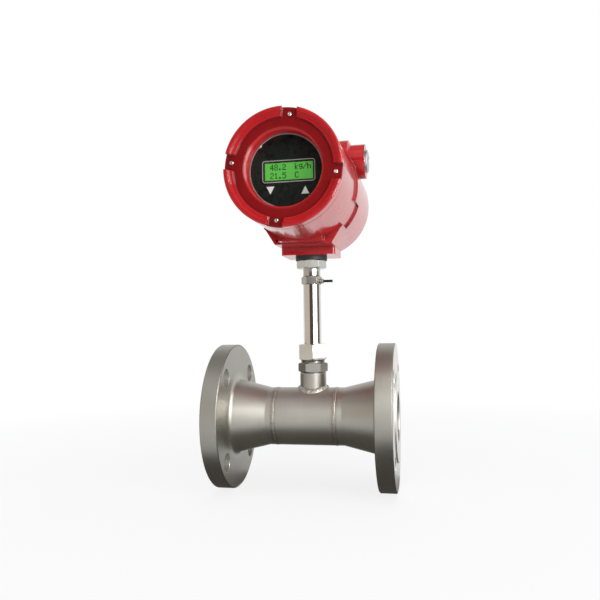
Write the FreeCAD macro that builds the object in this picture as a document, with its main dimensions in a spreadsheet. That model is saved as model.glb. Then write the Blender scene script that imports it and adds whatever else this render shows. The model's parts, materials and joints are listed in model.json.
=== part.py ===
import FreeCAD, Part
import os
import re
import Sketcher

# Thermal mass flow meter: a flanged flow body, a sensor probe in a compression fitting, and a cast
# two-chamber head with screwed front and rear covers. Millimetres. The origin is the middle of the
# inlet flange's raised face, +X runs with the flow, +Z is up the probe's stem, the display faces -Y.

SIZES = [
    # Flow body
    ("face_to_face", 190.5, "raised face to raised face"),
    ("pipe_od", 60.3, "two inch pipe"),
    ("pipe_wall", 3.9, "schedule 40 wall"),
    ("pipe_bore", "=pipe_od - 2 * pipe_wall", "schedule 40 bore"),
    ("flange_od", 152.4, "flange rim"),
    ("flange_thickness", 19.05, "flange plate with its raised face"),
    ("raised_face", 1.6, "height of the raised face"),
    ("raised_face_od", 92.1, "raised face"),
    ("hub_rise", 8.85, "hub above the pipe"),
    ("hub_od", "=pipe_od + 2 * hub_rise", "hub at the flange plate"),
    ("hub_fillet", 5.0, "fillet between hub and plate"),
    ("hub_length", 63.5, "raised face to the welding end"),
    ("hub_land", 8.0, "cylindrical welding end"),
    ("root_bevel", 1.5, "inside edge of the welding end"),
    ("rim_chamfer", 0.8, "broken edge of the flange rim"),
    ("bolt_circle", 120.65, "bolt circle"),
    ("bolt_hole", 19.05, "bolt hole"),
    ("weld_width", 3.2, "butt weld"),
    ("weld_height", 0.5, "weld reinforcement"),
    ("seat_gap", 0.05, "gap between seated round faces"),
    # Branch and compression fitting
    ("stem_offset", 101.6, "inlet face to the stem axis"),
    ("coupling_od", 27.7, "half coupling"),
    ("coupling_height", 16.4, "coupling above the pipe"),
    ("coupling_bore", 21.4, "coupling thread"),
    ("coupling_chamfer", 1.0, "top edge of the coupling"),
    ("weld_leg", 2.4, "fillet weld round the coupling"),
    ("thread_gap", 0.3, "radial gap of a screwed joint"),
    ("fitting_thread", 11.5, "fitting thread in the coupling"),
    ("fitting_hex", 27.0, "fitting body across flats"),
    ("fitting_hex_height", 10.0, "fitting hexagon"),
    ("fitting_bore", 16.4, "bore for the sensor shield"),
    ("neck_od", 24.6, "nut thread on the fitting"),
    ("neck_height", 13.0, "nut thread above the hexagon"),
    ("nut_standoff", 3.0, "hexagon to nut"),
    ("nut_hex", 28.6, "compression nut across flats"),
    ("nut_height", 16.6, "compression nut"),
    ("nut_lip", 2.6, "wall at the nut's top"),
    ("hex_chamfer", 1.4, "bevel of hexagon corners"),
    ("ferrule_wall", 1.9, "ferrule section"),
    ("fitting_turn", 10.0, "hexagon angles about the stem"),
    ("nut_turn", 40.4, "compression nut angle"),
    # Probe
    ("tube_od", 19.05, "probe stem"),
    ("tube_wall", 1.65, "probe stem wall"),
    ("tube_seat", 3.4, "tube's seat above the fitting hexagon"),
    ("stem_top", 148.1, "stem top above the pipe axis"),
    ("shield_od", "=tube_od - 2 * tube_wall", "sensor shield, seated in the stem"),
    ("shield_wall", 1.3, "sensor shield wall"),
    ("shield_tip", 12.0, "shield end below the pipe axis"),
    ("window_height", 26.0, "shield window along the stem"),
    ("window_width", 9.5, "shield window across the flow"),
    ("tip_ring", 3.0, "closed ring under the window"),
    ("sensor_od", 3.2, "sensor rod"),
    ("sensor_pitch", 6.4, "between the two rods"),
    ("velocity_reach", 7.0, "velocity sensor below the axis"),
    ("temperature_rise", 4.0, "temperature sensor tip above the axis"),
    ("header_height", 9.0, "sensor header"),
    ("cable_od", 5.0, "sensor cable"),
    # Swivel
    ("collar_hex", 19.05, "swivel collar across flats"),
    ("collar_height", 8.8, "swivel collar"),
    ("lock_rod", 2.7, "lock screw rod"),
    ("lock_reach", 22.5, "lock screw end from the stem axis"),
    ("lock_boss", 5.2, "lock screw shoulder"),
    ("lock_drop", 5.3, "lock screw below the stem top"),
    ("swivel_gap", 0.3, "running gap of the swivel"),
    ("spigot_depth", 22.0, "swivel spigot in the stem"),
    ("adapter_neck", 18.4, "adapter neck"),
    ("adapter_neck_height", 7.7, "adapter neck"),
    ("adapter_hex", 27.4, "adapter across flats"),
    ("adapter_hex_height", 9.0, "adapter hexagon"),
    ("adapter_thread", 15.0, "adapter thread in the base"),
    ("adapter_bore", 9.0, "cable way"),
    ("base_thread", 22.2, "thread in the enclosure base"),
    ("gasket_od", 33.6, "base gasket"),
    ("gasket_height", 4.4, "base gasket"),
    # Enclosure
    ("head_rise", 64.3, "base underside to the head axis"),
    ("front_reach", 124.0, "stem axis to the body's front edge"),
    ("rear_reach", 32.0, "stem axis to the body's rear edge"),
    ("barrel_od", 106.8, "front barrel"),
    ("barrel_draft", 1.4, "growth of the barrel's radius to the rear"),
    ("sleeve_rise", 3.0, "sleeve above the barrel's front"),
    ("sleeve_od", "=barrel_od + 2 * sleeve_rise", "raised sleeve"),
    ("sleeve_front", 46.0, "sleeve front edge"),
    ("relief_front", 20.0, "sleeve edge in the reliefs"),
    ("relief_low", 46.0, "lower end of a relief, degrees from below"),
    ("relief_high", 73.0, "upper end of a relief, degrees from below"),
    ("barrel_wall", 4.2, "wall round the front chamber"),
    ("front_bore", "=barrel_od - 2 * barrel_wall", "front chamber"),
    ("sleeve_wall", 10.4, "wall round the rear chamber"),
    ("rear_bore", "=sleeve_od - 2 * sleeve_wall", "rear chamber"),
    ("partition_front", 42.0, "partition face ahead of the stem axis"),
    ("partition", 5.0, "partition wall"),
    ("base_width", 57.0, "square base across the flow"),
    ("base_front", 20.0, "base ahead of the stem axis"),
    ("base_back", 27.0, "base behind the stem axis"),
    ("base_height", 9.0, "square base"),
    ("base_round", 3.0, "corners of the square base"),
    ("saddle_top", 77.4, "pedestal width at the sleeve"),
    ("saddle_top_drop", 40.6, "that level below the head axis"),
    ("saddle_bottom", 58.0, "pedestal width at its underside"),
    ("shelf_front", 62.0, "front shelf ahead of the stem axis"),
    ("shelf_width", 44.0, "front shelf"),
    ("tab_hole", 2.6, "tapped hole in the pedestal's front"),
    ("tab_hole_side", 26.5, "hole to the left of the stem"),
    ("tab_hole_drop", 52.5, "hole below the head axis"),
    ("tab_hole_depth", 9.0, "tapped hole"),
    ("boss_od", 35.2, "conduit boss"),
    ("boss_forward", 18.0, "boss ahead of the stem axis"),
    ("boss_drop", 23.4, "boss below the barrel top"),
    ("boss_rise", "=barrel_od / 2 - boss_drop", "boss above the head axis"),
    ("boss_stand", 5.5, "boss face beyond the sleeve"),
    ("boss_reach", "=sleeve_od / 2 + boss_stand", "boss face from the stem axis"),
    ("boss_collar_od", 45.4, "boss root"),
    ("boss_length", 17.0, "boss face to its root"),
    ("boss_collar_reach", "=boss_reach - boss_length", "boss root from the stem axis"),
    ("boss_collar_slope", 2.4, "taper from root to boss"),
    ("conduit_bore", 25.4, "conduit thread"),
    ("conduit_length", 20.0, "conduit thread"),
    ("conduit_relief", 31.0, "relief behind the conduit thread"),
    ("plug_thread", 13.0, "plug thread"),
    ("plug_neck", 21.0, "groove under the plug's head"),
    ("plug_neck_length", 1.0, "groove under the plug's head"),
    ("plug_head", 23.2, "plug head"),
    ("plug_head_height", 1.8, "plug head"),
    ("plug_socket", 9.5, "hexagon socket across flats"),
    ("plug_socket_depth", 6.0, "hexagon socket"),
    # Front cover
    ("seam_gap", 0.4, "cover flange to body"),
    ("cover_gap", 0.4, "radial gap of the cover threads"),
    ("cover_flange", 12.6, "front cover flange"),
    ("cover_spigot", 14.5, "front cover thread"),
    ("cover_edge", 1.0, "chamfer of the cover rim"),
    ("rim_width", 3.8, "flat of the cover rim"),
    ("rim_inner", "=barrel_od - 2 * rim_width", "inner edge of the rim"),
    ("rim_slope", 1.0, "slope from rim to ledge"),
    ("ledge_od", "=rim_inner - 2 * rim_slope", "outer edge of the ledge"),
    ("ledge_drop", 2.2, "ledge below the rim"),
    ("ledge_width", 3.6, "ledge"),
    ("dial_od", "=ledge_od - 2 * ledge_width", "recessed face, outside"),
    ("dial_drop", 5.5, "recessed face below the rim"),
    ("dial_width", 9.0, "recessed face"),
    ("bore_mouth", "=dial_od - 2 * dial_width", "window bore at the recessed face"),
    ("bore_taper", 2.6, "taper of the window bore"),
    ("bore_chamfer", 1.6, "chamfer at the mouth of the window bore"),
    ("window_opening", "=bore_mouth - 2 * bore_taper", "window bore at the glass"),
    ("window_depth", 17.0, "glass seat below the rim"),
    ("glass_margin", 6.6, "front chamber to the glass edge"),
    ("glass_od", "=front_bore - 2 * glass_margin", "window glass"),
    ("glass_thickness", 6.0, "window glass"),
    ("glass_gap", 0.3, "round the glass"),
    ("window_gasket_height", 0.8, "glass gasket"),
    ("gasket_show", 0.4, "gasket seen inside the window bore"),
    ("window_gasket_bore", "=window_opening - 2 * gasket_show", "glass gasket"),
    ("retainer_width", 5.1, "retainer ring"),
    ("retainer_bore", "=glass_od - 2 * retainer_width", "retainer ring"),
    ("retainer_height", 3.0, "retainer ring"),
    ("notch_width", 14.0, "wrench notch"),
    ("notch_turn", -8.1, "cover turned from upright, degrees"),
    ("cover_screw_offset", 2.2, "screws outside the recessed face"),
    ("cover_screw_circle", "=dial_od + 2 * cover_screw_offset", "screws in the notches"),
    ("cover_screw_head", 3.8, "screw head"),
    ("cover_screw_head_height", 1.5, "screw head"),
    ("cover_screw_shank", 2.2, "screw shank"),
    ("cover_screw_length", 6.0, "screw shank"),
    ("screw_gap", 0.1, "radial gap of small screws"),
    ("ring_section", 1.9, "O-ring section"),
    ("ring_gap", 0.3, "O-ring to its groove"),
    # Rear cover
    ("rear_step", 0.2, "sleeve to rear cover"),
    ("rear_cover_od", "=sleeve_od - 2 * rear_step", "rear cover"),
    ("rear_flange", 37.0, "rear cover flange"),
    ("rear_spigot", 14.0, "rear cover thread"),
    ("rear_wall", 7.0, "rear cover end wall"),
    ("rear_cup_wall", 5.0, "rear chamber to the hollow"),
    ("rear_hollow", "=rear_bore - 2 * rear_cup_wall", "rear cover hollow"),
    ("rear_chamfer", 2.5, "rear edge"),
    ("rear_lead", 1.0, "bevel at the seam"),
    ("rear_notch_depth", 9.0, "wrench notch, from the end face"),
    ("rear_notch_reach", 6.0, "wrench notch, from the rim"),
    ("rear_notch_turn", 95.0, "first notch about the head axis, degrees"),
    # Display and boards
    ("display_recess", 16.0, "body front edge to the faceplate"),
    ("plate_margin", 5.2, "faceplate to the chamber wall"),
    ("faceplate_od", "=front_bore - 2 * plate_margin", "faceplate"),
    ("faceplate_thickness", 2.0, "faceplate"),
    ("lcd_width", 44.5, "display glass"),
    ("lcd_height", 15.7, "display glass"),
    ("lcd_side", 0.3, "display centre right of the axis"),
    ("lcd_rise", 2.0, "display centre above the axis"),
    ("lcd_gap", 0.3, "display glass to its hole"),
    ("lcd_sink", 0.4, "display glass below the faceplate"),
    ("border_width", 1.0, "display border"),
    ("border_space", 1.3, "display glass to its border"),
    ("border_height", 0.5, "display border"),
    ("border_round", 2.6, "corners of the display border"),
    ("module_margin", 6.0, "display module round its glass"),
    ("module_depth", 8.0, "display module"),
    ("board_margin", 6.2, "boards to the chamber wall"),
    ("board_od", "=front_bore - 2 * board_margin", "round boards"),
    ("board_thickness", 1.6, "boards"),
    ("main_board_depth", 26.0, "display board to main board"),
    ("spacer_hex", 5.5, "spacer across flats"),
    ("spacer_margin", 5.0, "spacers inside the board edge"),
    ("spacer_circle", "=board_od - 2 * spacer_margin", "spacers"),
    ("plate_screw_head", 5.0, "faceplate screw"),
    ("plate_screw_height", 1.6, "faceplate screw"),
    ("part_height", 13.0, "tallest board part"),
    ("terminal_margin", 8.0, "terminal board to the chamber wall"),
    ("terminal_board_od", "=rear_bore - 2 * terminal_margin", "terminal board"),
    ("terminal_spacer", 4.5, "terminal board to partition"),
    ("terminal_circle", "=terminal_board_od - 2 * spacer_margin", "terminal board spacers"),
    ("terminal_width", 42.0, "terminal block"),
    ("terminal_height", 11.0, "terminal block"),
    ("terminal_depth", 13.0, "terminal block"),
    ("terminal_pitch", 20.0, "between the two blocks"),
    ("feed_od", 11.0, "feed-through"),
    ("feed_margin", 11.0, "feed-through to the chamber wall"),
    ("feed_drop", "=rear_bore / 2 - feed_margin", "feed-through below the head axis"),
    ("earth_margin", 4.0, "earth screw to the chamber wall"),
    ("earth_circle", "=rear_bore - 2 * earth_margin", "earth screw circle"),
    ("earth_head", 6.0, "earth screw"),
    ("earth_height", 5.0, "earth screw"),
    ("earth_turn", -60.0, "earth screw about the head axis"),
    ("tail_bend", 9.0, "bend of the sensor tail"),
]

doc = FreeCAD.newDocument("FlowMeter")
sheet = doc.addObject("Spreadsheet::Sheet", "Sizes")
for row, (alias, value, note) in enumerate(SIZES, start=1):
    sheet.set("A%d" % row, alias)
    sheet.set("B%d" % row, str(value))
    sheet.set("C%d" % row, note)
    sheet.setAlias("B%d" % row, alias)
doc.recompute()

ALIASES = {alias for alias, value, note in SIZES}
SUB_PARTS = []

# Levels and places that several pieces share, written over the sizes above.
COUPLING_TOP = "(pipe_od / 2 + coupling_height)"
FITTING_TOP = "(%s + fitting_hex_height)" % COUPLING_TOP
NUT_BASE = "(%s + nut_standoff)" % FITTING_TOP
NECK_TOP = "(%s + neck_height)" % FITTING_TOP
TUBE_SEAT = "(%s + tube_seat)" % FITTING_TOP
ADAPTER_BASE = "(stem_top + swivel_gap)"
ADAPTER_HEX_BASE = "(%s + adapter_neck_height)" % ADAPTER_BASE
GASKET_BASE = "(%s + adapter_hex_height)" % ADAPTER_HEX_BASE
BASE_LEVEL = "(%s + gasket_height)" % GASKET_BASE
HEAD_LEVEL = "(%s + head_rise)" % BASE_LEVEL
RIM_FRONT = "(front_reach + seam_gap + cover_flange)"
SPIGOT_END = "(front_reach + seam_gap - cover_spigot)"
GLASS_SEAT = "(%s - window_depth)" % RIM_FRONT
PLATE_FRONT = "(front_reach - display_recess)"
PLATE_BACK = "(%s - faceplate_thickness)" % PLATE_FRONT
DISPLAY_BOARD_FRONT = "(%s - module_depth)" % PLATE_BACK
DISPLAY_BOARD_BACK = "(%s - board_thickness)" % DISPLAY_BOARD_FRONT
MAIN_BOARD_FRONT = "(%s - main_board_depth)" % DISPLAY_BOARD_BACK
MAIN_BOARD_BACK = "(%s - board_thickness)" % MAIN_BOARD_FRONT
PARTITION_BACK = "(partition_front - partition)"
TERMINAL_BOARD_FRONT = "(%s - terminal_spacer)" % PARTITION_BACK
TERMINAL_BOARD_BACK = "(%s - board_thickness)" % TERMINAL_BOARD_FRONT

ALONG_Z = FreeCAD.Rotation()
ALONG_X = FreeCAD.Rotation(FreeCAD.Vector(0, 1, 0), 90)
AGAINST_X = FreeCAD.Rotation(FreeCAD.Vector(0, 1, 0), -90)
FORWARD = FreeCAD.Rotation(FreeCAD.Vector(1, 0, 0), 90)
BACKWARD = FreeCAD.Rotation(FreeCAD.Vector(1, 0, 0), -90)
QUARTER_TURNS = (0, 90, 180, 270)
HALF_TURNS = (0, 180)


def facing(x_axis, y_axis):
    """The rotation that lays an object's own X and Y along two directions."""
    return FreeCAD.Rotation(x_axis, y_axis, x_axis.cross(y_axis), "XYZ")


def tie(expression):
    """The expression with every size read from the sheet."""
    return re.sub(r"[a-z_]{3,}", lambda m: "Sizes." + m[0] if m[0] in ALIASES else m[0], expression)


def number(expression):
    """The expression's present value."""
    return float(sheet.evalExpression(tie(expression)))


def place(item, x="0", y="0", z="0", rotation=ALONG_Z):
    """Put an object where three expressions say, in the part's own frame."""
    item.Placement = FreeCAD.Placement(FreeCAD.Vector(number(x), number(y), number(z)), rotation)
    for axis, expression in zip("xyz", (x, y, z)):
        item.setExpression("Placement.Base." + axis, tie(expression))
    return item


def at_stem(item, z, rotation=ALONG_Z):
    """Put an object on the stem axis at a level."""
    return place(item, "stem_offset", "0", z, rotation)


def in_head(item, right="0", forward="0", up="0", rotation=FORWARD):
    """Put an object by its place from the point where stem axis and head axis cross."""
    x = "stem_offset + (%s)" % right
    y = "-(%s)" % forward
    z = "%s + (%s)" % (HEAD_LEVEL, up)
    return place(item, x, y, z, rotation)


def sized(kind, name, **sizes):
    """A primitive whose properties follow expressions."""
    item = doc.addObject(kind, name)
    for prop, expression in sizes.items():
        item.setExpression(prop, tie(expression))
    return item


def cylinder(name, diameter, height, angle="360"):
    return sized("Part::Cylinder", name, Radius="(%s) / 2" % diameter, Height=height, Angle=angle)


def box(name, length, width, height):
    return sized("Part::Box", name, Length=length, Width=width, Height=height)


def fused(name, items):
    item = doc.addObject("Part::MultiFuse", name)
    item.Shapes = items
    return item


def grouped(name, items):
    item = doc.addObject("Part::Compound", name)
    item.Links = items
    return item


def cut(name, base, tools):
    """The base without the tools."""
    item = doc.addObject("Part::Cut", name)
    item.Base = base
    item.Tool = tools[0] if len(tools) == 1 else fused(name + "Tools", tools)
    return item


def keep(item, label):
    """List an object as a sub-part under the name of its node."""
    item.Label = label
    SUB_PARTS.append(item)
    return item


def body_sketch(body, role, points):
    """A closed outline on one of the body's own planes, each point held by two expressions."""
    plane = [item for item in body.Origin.OriginFeatures if item.Role == role][0]
    sketch = body.newObject("Sketcher::SketchObject", body.Name + "Outline")
    sketch.AttachmentSupport = [(plane, "")]
    sketch.MapMode = "FlatFace"
    corners = [FreeCAD.Vector(number(u), number(v), 0) for u, v in points]
    for index, corner in enumerate(corners):
        following = corners[(index + 1) % len(corners)]
        sketch.addGeometry(Part.LineSegment(corner, following), False)
    for index in range(len(corners)):
        following = (index + 1) % len(corners)
        sketch.addConstraint(Sketcher.Constraint("Coincident", index, 2, following, 1))
    for index, (u, v) in enumerate(points):
        for kind, axis, expression in (("DistanceX", -2, u), ("DistanceY", -1, v)):
            if number(expression) == 0:
                sketch.addConstraint(Sketcher.Constraint("PointOnObject", index, 1, axis))
            else:
                held = Sketcher.Constraint(kind, -1, 1, index, 1, number(expression))
                count = sketch.addConstraint(held)
                sketch.setExpression("Constraints[%d]" % count, tie(expression))
    return sketch


def turned(name, points):
    """A solid of revolution about its own Z, from (radius, height) points."""
    body = doc.addObject("PartDesign::Body", name)
    sketch = body_sketch(body, "XZ_Plane", points)
    revolution = body.newObject("PartDesign::Revolution", name + "Turned")
    revolution.Profile = sketch
    revolution.ReferenceAxis = (sketch, ["V_Axis"])
    revolution.Angle = 360
    body.Tip = revolution
    return body


def ring(name, outer, inner, height):
    """A plain ring from two diameters."""
    outer_radius = "(%s) / 2" % outer
    inner_radius = "(%s) / 2" % inner
    points = [(inner_radius, "0"), (outer_radius, "0"), (outer_radius, height), (inner_radius, height)]
    return turned(name, points)


def plate(name, points, thickness):
    """A flat outline in the body's XY plane, padded along its own Z."""
    body = doc.addObject("PartDesign::Body", name)
    sketch = body_sketch(body, "XY_Plane", points)
    pad = body.newObject("PartDesign::Pad", name + "Pad")
    pad.Profile = sketch
    pad.setExpression("Length", tie(thickness))
    body.Tip = pad
    return body


def rectangle(width, height):
    """Corner points of a rectangle about the origin."""
    side = "(%s) / 2" % width
    top = "(%s) / 2" % height
    return [("-" + side, "-" + top), (side, "-" + top), (side, top), ("-" + side, top)]


def hexagon(name, flats, height, turn, level):
    """A hexagon on the stem axis with bevelled corners at both ends."""
    prism = sized("Part::Prism", name + "Prism", Circumradius="(%s) / sqrt(3)" % flats, Height=height)
    prism.Polygon = 6
    at_stem(prism, level, FreeCAD.Rotation(FreeCAD.Vector(0, 0, 1), number(turn)))
    face = "(%s) * 0.49" % flats
    corner = "(%s) * 0.6" % flats
    upper = "(%s) - hex_chamfer" % height
    points = [("0", "0"), (face, "0"), (corner, "hex_chamfer")]
    points += [(corner, upper), (face, height), ("0", height)]
    bevel = at_stem(turned(name + "Bevel", points), level)
    item = doc.addObject("Part::Common", name)
    item.Base = prism
    item.Tool = bevel
    return item


def turned_copies(make, angles=QUARTER_TURNS):
    """What make gives for each angle, as a list."""
    return [make(index, angle) for index, angle in enumerate(angles)]


def head_circle(item, diameter, forward, turn):
    """Put an object on a circle about the head axis, its own X pointing outward."""
    about_axis = FORWARD.multiply(FreeCAD.Rotation(FreeCAD.Vector(0, 0, 1), number(turn)))
    right = "(%s) / 2 * cos(%s)" % (diameter, turn)
    up = "(%s) / 2 * sin(%s)" % (diameter, turn)
    return in_head(item, right, forward, up, about_axis)


def circular_edges(shape, radius, height):
    """Names of the shape's full circles of a radius at a height along its own Z."""
    names = []
    for index, edge in enumerate(shape.Edges, start=1):
        if isinstance(edge.Curve, Part.Circle):
            same_radius = abs(edge.Curve.Radius - radius) < 1e-4
            if same_radius and abs(edge.Curve.Center.z - height) < 1e-4:
                names.append("Edge%d" % index)
    return names


def upright_edges(shape):
    """Names of the shape's straight edges along its own Z."""
    names = []
    for index, edge in enumerate(shape.Edges, start=1):
        if isinstance(edge.Curve, Part.Line) and abs(edge.Curve.Direction.z) > 0.99:
            names.append("Edge%d" % index)
    return names


def rounded(body, edges, radius):
    """Fillet named edges of a body's last feature."""
    last = body.Tip
    fillet = body.newObject("PartDesign::Fillet", body.Name + "Rounded")
    fillet.Base = (last, edges)
    fillet.setExpression("Radius", tie(radius))
    body.Tip = fillet
    doc.recompute()


def flange(label, x, rotation):
    """A weld neck flange, turned, drilled on its bolt circle, with a fillet at the hub's root."""
    points = [
        ("pipe_bore / 2", "0"),
        ("raised_face_od / 2", "0"),
        ("raised_face_od / 2", "raised_face"),
        ("flange_od / 2 - rim_chamfer", "raised_face"),
        ("flange_od / 2", "raised_face + rim_chamfer"),
        ("flange_od / 2", "flange_thickness - rim_chamfer"),
        ("flange_od / 2 - rim_chamfer", "flange_thickness"),
        ("hub_od / 2", "flange_thickness"),
        ("pipe_od / 2", "hub_length - hub_land"),
        ("pipe_od / 2", "hub_length"),
        ("pipe_bore / 2 + root_bevel", "hub_length"),
        ("pipe_bore / 2", "hub_length - root_bevel"),
    ]
    body = turned(label.title().replace("_", ""), points)
    doc.recompute()
    root = circular_edges(body.Tip.Shape, number("hub_od / 2"), number("flange_thickness"))
    rounded(body, root, "hub_fillet")
    plane = [item for item in body.Origin.OriginFeatures if item.Role == "XY_Plane"][0]
    circle = body.newObject("Sketcher::SketchObject", label + "_hole_outline")
    circle.AttachmentSupport = [(plane, "")]
    circle.MapMode = "FlatFace"
    offset = number("bolt_circle / 2 * sqrt(0.5)")
    centre = FreeCAD.Vector(offset, offset, 0)
    circle.addGeometry(Part.Circle(centre, FreeCAD.Vector(0, 0, 1), number("bolt_hole / 2")), False)
    held = [
        circle.addConstraint(Sketcher.Constraint("Radius", 0, number("bolt_hole / 2"))),
        circle.addConstraint(Sketcher.Constraint("DistanceX", -1, 1, 0, 3, offset)),
        circle.addConstraint(Sketcher.Constraint("DistanceY", -1, 1, 0, 3, offset)),
    ]
    for count, expression in zip(held, ["bolt_hole / 2"] + ["bolt_circle / 2 * sqrt(0.5)"] * 2):
        circle.setExpression("Constraints[%d]" % count, tie(expression))
    hole = body.newObject("PartDesign::Pocket", label + "_hole")
    hole.Profile = circle
    hole.Type = "ThroughAll"
    hole.Reversed = True
    body.Tip = hole
    doc.recompute()
    holes = body.newObject("PartDesign::PolarPattern", label + "_holes")
    holes.Originals = [hole]
    holes.Axis = (circle, ["N_Axis"])
    holes.Angle = 360
    holes.Occurrences = len(QUARTER_TURNS)
    body.Tip = holes
    return keep(place(body, x, "0", "0", rotation), label)


def make_flow_body():
    """Flanges, pipe and butt welds."""
    flange("inlet_flange", "0", ALONG_X)
    flange("outlet_flange", "face_to_face", AGAINST_X)
    length = "face_to_face - 2 * hub_length"
    wall = place(cylinder("PipeWall", "pipe_od", length), "hub_length", rotation=ALONG_X)
    bore = place(cylinder("PipeBore", "pipe_bore", length), "hub_length", rotation=ALONG_X)
    branch = at_stem(cylinder("PipeBranch", "coupling_bore", "pipe_od"), "0")
    keep(cut("FlowPipe", wall, [bore, branch]), "flow_pipe")
    inner = "pipe_od / 2 + seat_gap"
    outer = "pipe_od / 2 + weld_height"
    bead = [(inner, "0"), (outer, "weld_width / 4"), (outer, "weld_width * 3 / 4"), (inner, "weld_width")]
    for label, x in (("inlet_weld", "hub_length"), ("outlet_weld", "face_to_face - hub_length")):
        weld = turned(label.title().replace("_", ""), bead)
        keep(place(weld, x + " - weld_width / 2", rotation=ALONG_X), label)


def make_branch():
    """The half coupling saddled on the pipe and the fillet weld round its foot."""
    top = "pipe_od / 2 + coupling_height"
    radius = "coupling_od / 2"
    bore = "coupling_bore / 2"
    points = [(bore, "0"), (radius, "0"), (radius, top + " - coupling_chamfer")]
    points += [(radius + " - coupling_chamfer", top), (bore, top)]
    blank = at_stem(turned("CouplingBlank", points), "0")
    saddle = place(cylinder("CouplingSaddle", "pipe_od + 2 * seat_gap", "face_to_face"), rotation=ALONG_X)
    keep(cut("BranchCoupling", blank, [saddle]), "branch_coupling")
    foot = "coupling_od / 2 + seat_gap"
    leg = "(coupling_od / 2 + weld_leg)"
    crest = "pipe_od / 2 + weld_leg"
    slope = [(foot, "0"), (leg, "0"), (leg, "pipe_od / 2"), (foot, crest)]
    collar = at_stem(turned("WeldCollar", slope), "0")
    skin = place(cylinder("WeldSkin", "pipe_od + 2 * seat_gap", "face_to_face"), rotation=ALONG_X)
    keep(cut("BranchWeld", collar, [skin]), "branch_weld")


def make_fitting():
    """Compression fitting: body, nut and the two ferrules that grip the tube."""
    thread = cylinder("FittingThread", "coupling_bore - 2 * thread_gap", "fitting_thread + hex_chamfer")
    at_stem(thread, COUPLING_TOP + " - fitting_thread")
    grip = hexagon("FittingHex", "fitting_hex", "fitting_hex_height", "fitting_turn", COUPLING_TOP)
    neck = cylinder("FittingNeck", "neck_od", "neck_height + hex_chamfer")
    at_stem(neck, FITTING_TOP + " - hex_chamfer")
    blank = fused("FittingBlank", [thread, grip, neck])
    through = at_stem(cylinder("FittingBore", "fitting_bore", "stem_top"), "0")
    seat = at_stem(cylinder("FittingSeat", "tube_od + 2 * seat_gap", "stem_top"), TUBE_SEAT)
    keep(cut("FittingBody", blank, [through, seat]), "fitting_body")
    hole = "tube_od / 2 + seat_gap"
    cavity = "neck_od / 2 + thread_gap"
    roof = "nut_height - nut_lip"
    inside = [("0", "0"), (cavity, "0"), (cavity, roof), (hole, roof)]
    inside += [(hole, "nut_height"), ("0", "nut_height")]
    block = hexagon("NutHex", "nut_hex", "nut_height", "nut_turn", NUT_BASE)
    hollow = at_stem(turned("NutHollow", inside), NUT_BASE)
    keep(cut("CompressionNut", block, [hollow]), "compression_nut")
    inner = "tube_od / 2 + seat_gap"
    outer = inner + " + ferrule_wall"
    middle = inner + " + ferrule_wall / 2"
    half = "(%s + %s - %s) / 2" % (NUT_BASE, roof, NECK_TOP)
    wedge = [(inner, "0"), (outer, "0"), (middle, half), (inner, half)]
    keep(at_stem(turned("FrontFerrule", wedge), NECK_TOP), "front_ferrule")
    collar = [(inner, "0"), (middle, "0"), (outer, half), (inner, half)]
    keep(at_stem(turned("BackFerrule", collar), "%s + %s" % (NECK_TOP, half)), "back_ferrule")


def make_probe():
    """Stem tube, open sensor shield, the two sensor rods, their header and the cable."""
    height = "stem_top - collar_height - " + TUBE_SEAT
    tube = ring("ProbeStem", "tube_od", "tube_od - 2 * tube_wall", height)
    keep(at_stem(tube, TUBE_SEAT), "probe_stem")
    shield_top = TUBE_SEAT + " + header_height"
    height = shield_top + " + shield_tip"
    skin = at_stem(cylinder("ShieldSkin", "shield_od - 2 * seat_gap", height), "-shield_tip")
    hollow = at_stem(cylinder("ShieldHollow", "shield_od - 2 * shield_wall", height), "-shield_tip")
    window = box("ShieldWindow", "2 * shield_od", "window_width", "window_height")
    place(window, "stem_offset - shield_od", "-window_width / 2", "tip_ring - shield_tip")
    keep(cut("SensorShield", skin, [hollow, window]), "sensor_shield")
    header_base = "window_height + tip_ring - shield_tip"
    header = cylinder("HeaderBlank", "shield_od - 2 * shield_wall - 2 * seat_gap", "header_height")
    at_stem(header, header_base)
    rods = []
    holes = []
    tips = (("velocity_sensor", -1, "-velocity_reach"), ("temperature_sensor", 1, "temperature_rise"))
    for label, side, tip in tips:
        y = "%d * sensor_pitch / 2" % side
        name = label.title().replace("_", "")
        height = "%s + header_height - (%s)" % (header_base, tip)
        rod = place(cylinder(name, "sensor_od", height), "stem_offset", y, tip)
        hole = place(cylinder(name + "Hole", "sensor_od + 2 * seat_gap", height), "stem_offset", y, tip)
        rods.append((rod, label))
        holes.append(hole)
    keep(cut("SensorHeader", header, holes), "sensor_header")
    for rod, label in rods:
        keep(rod, label)
    cable_base = header_base + " + header_height"
    cable_top = "%s + head_rise - rear_bore / 2" % BASE_LEVEL
    cable = cylinder("SensorCable", "cable_od", "%s - (%s)" % (cable_top, cable_base))
    keep(at_stem(cable, cable_base), "sensor_cable")


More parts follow.
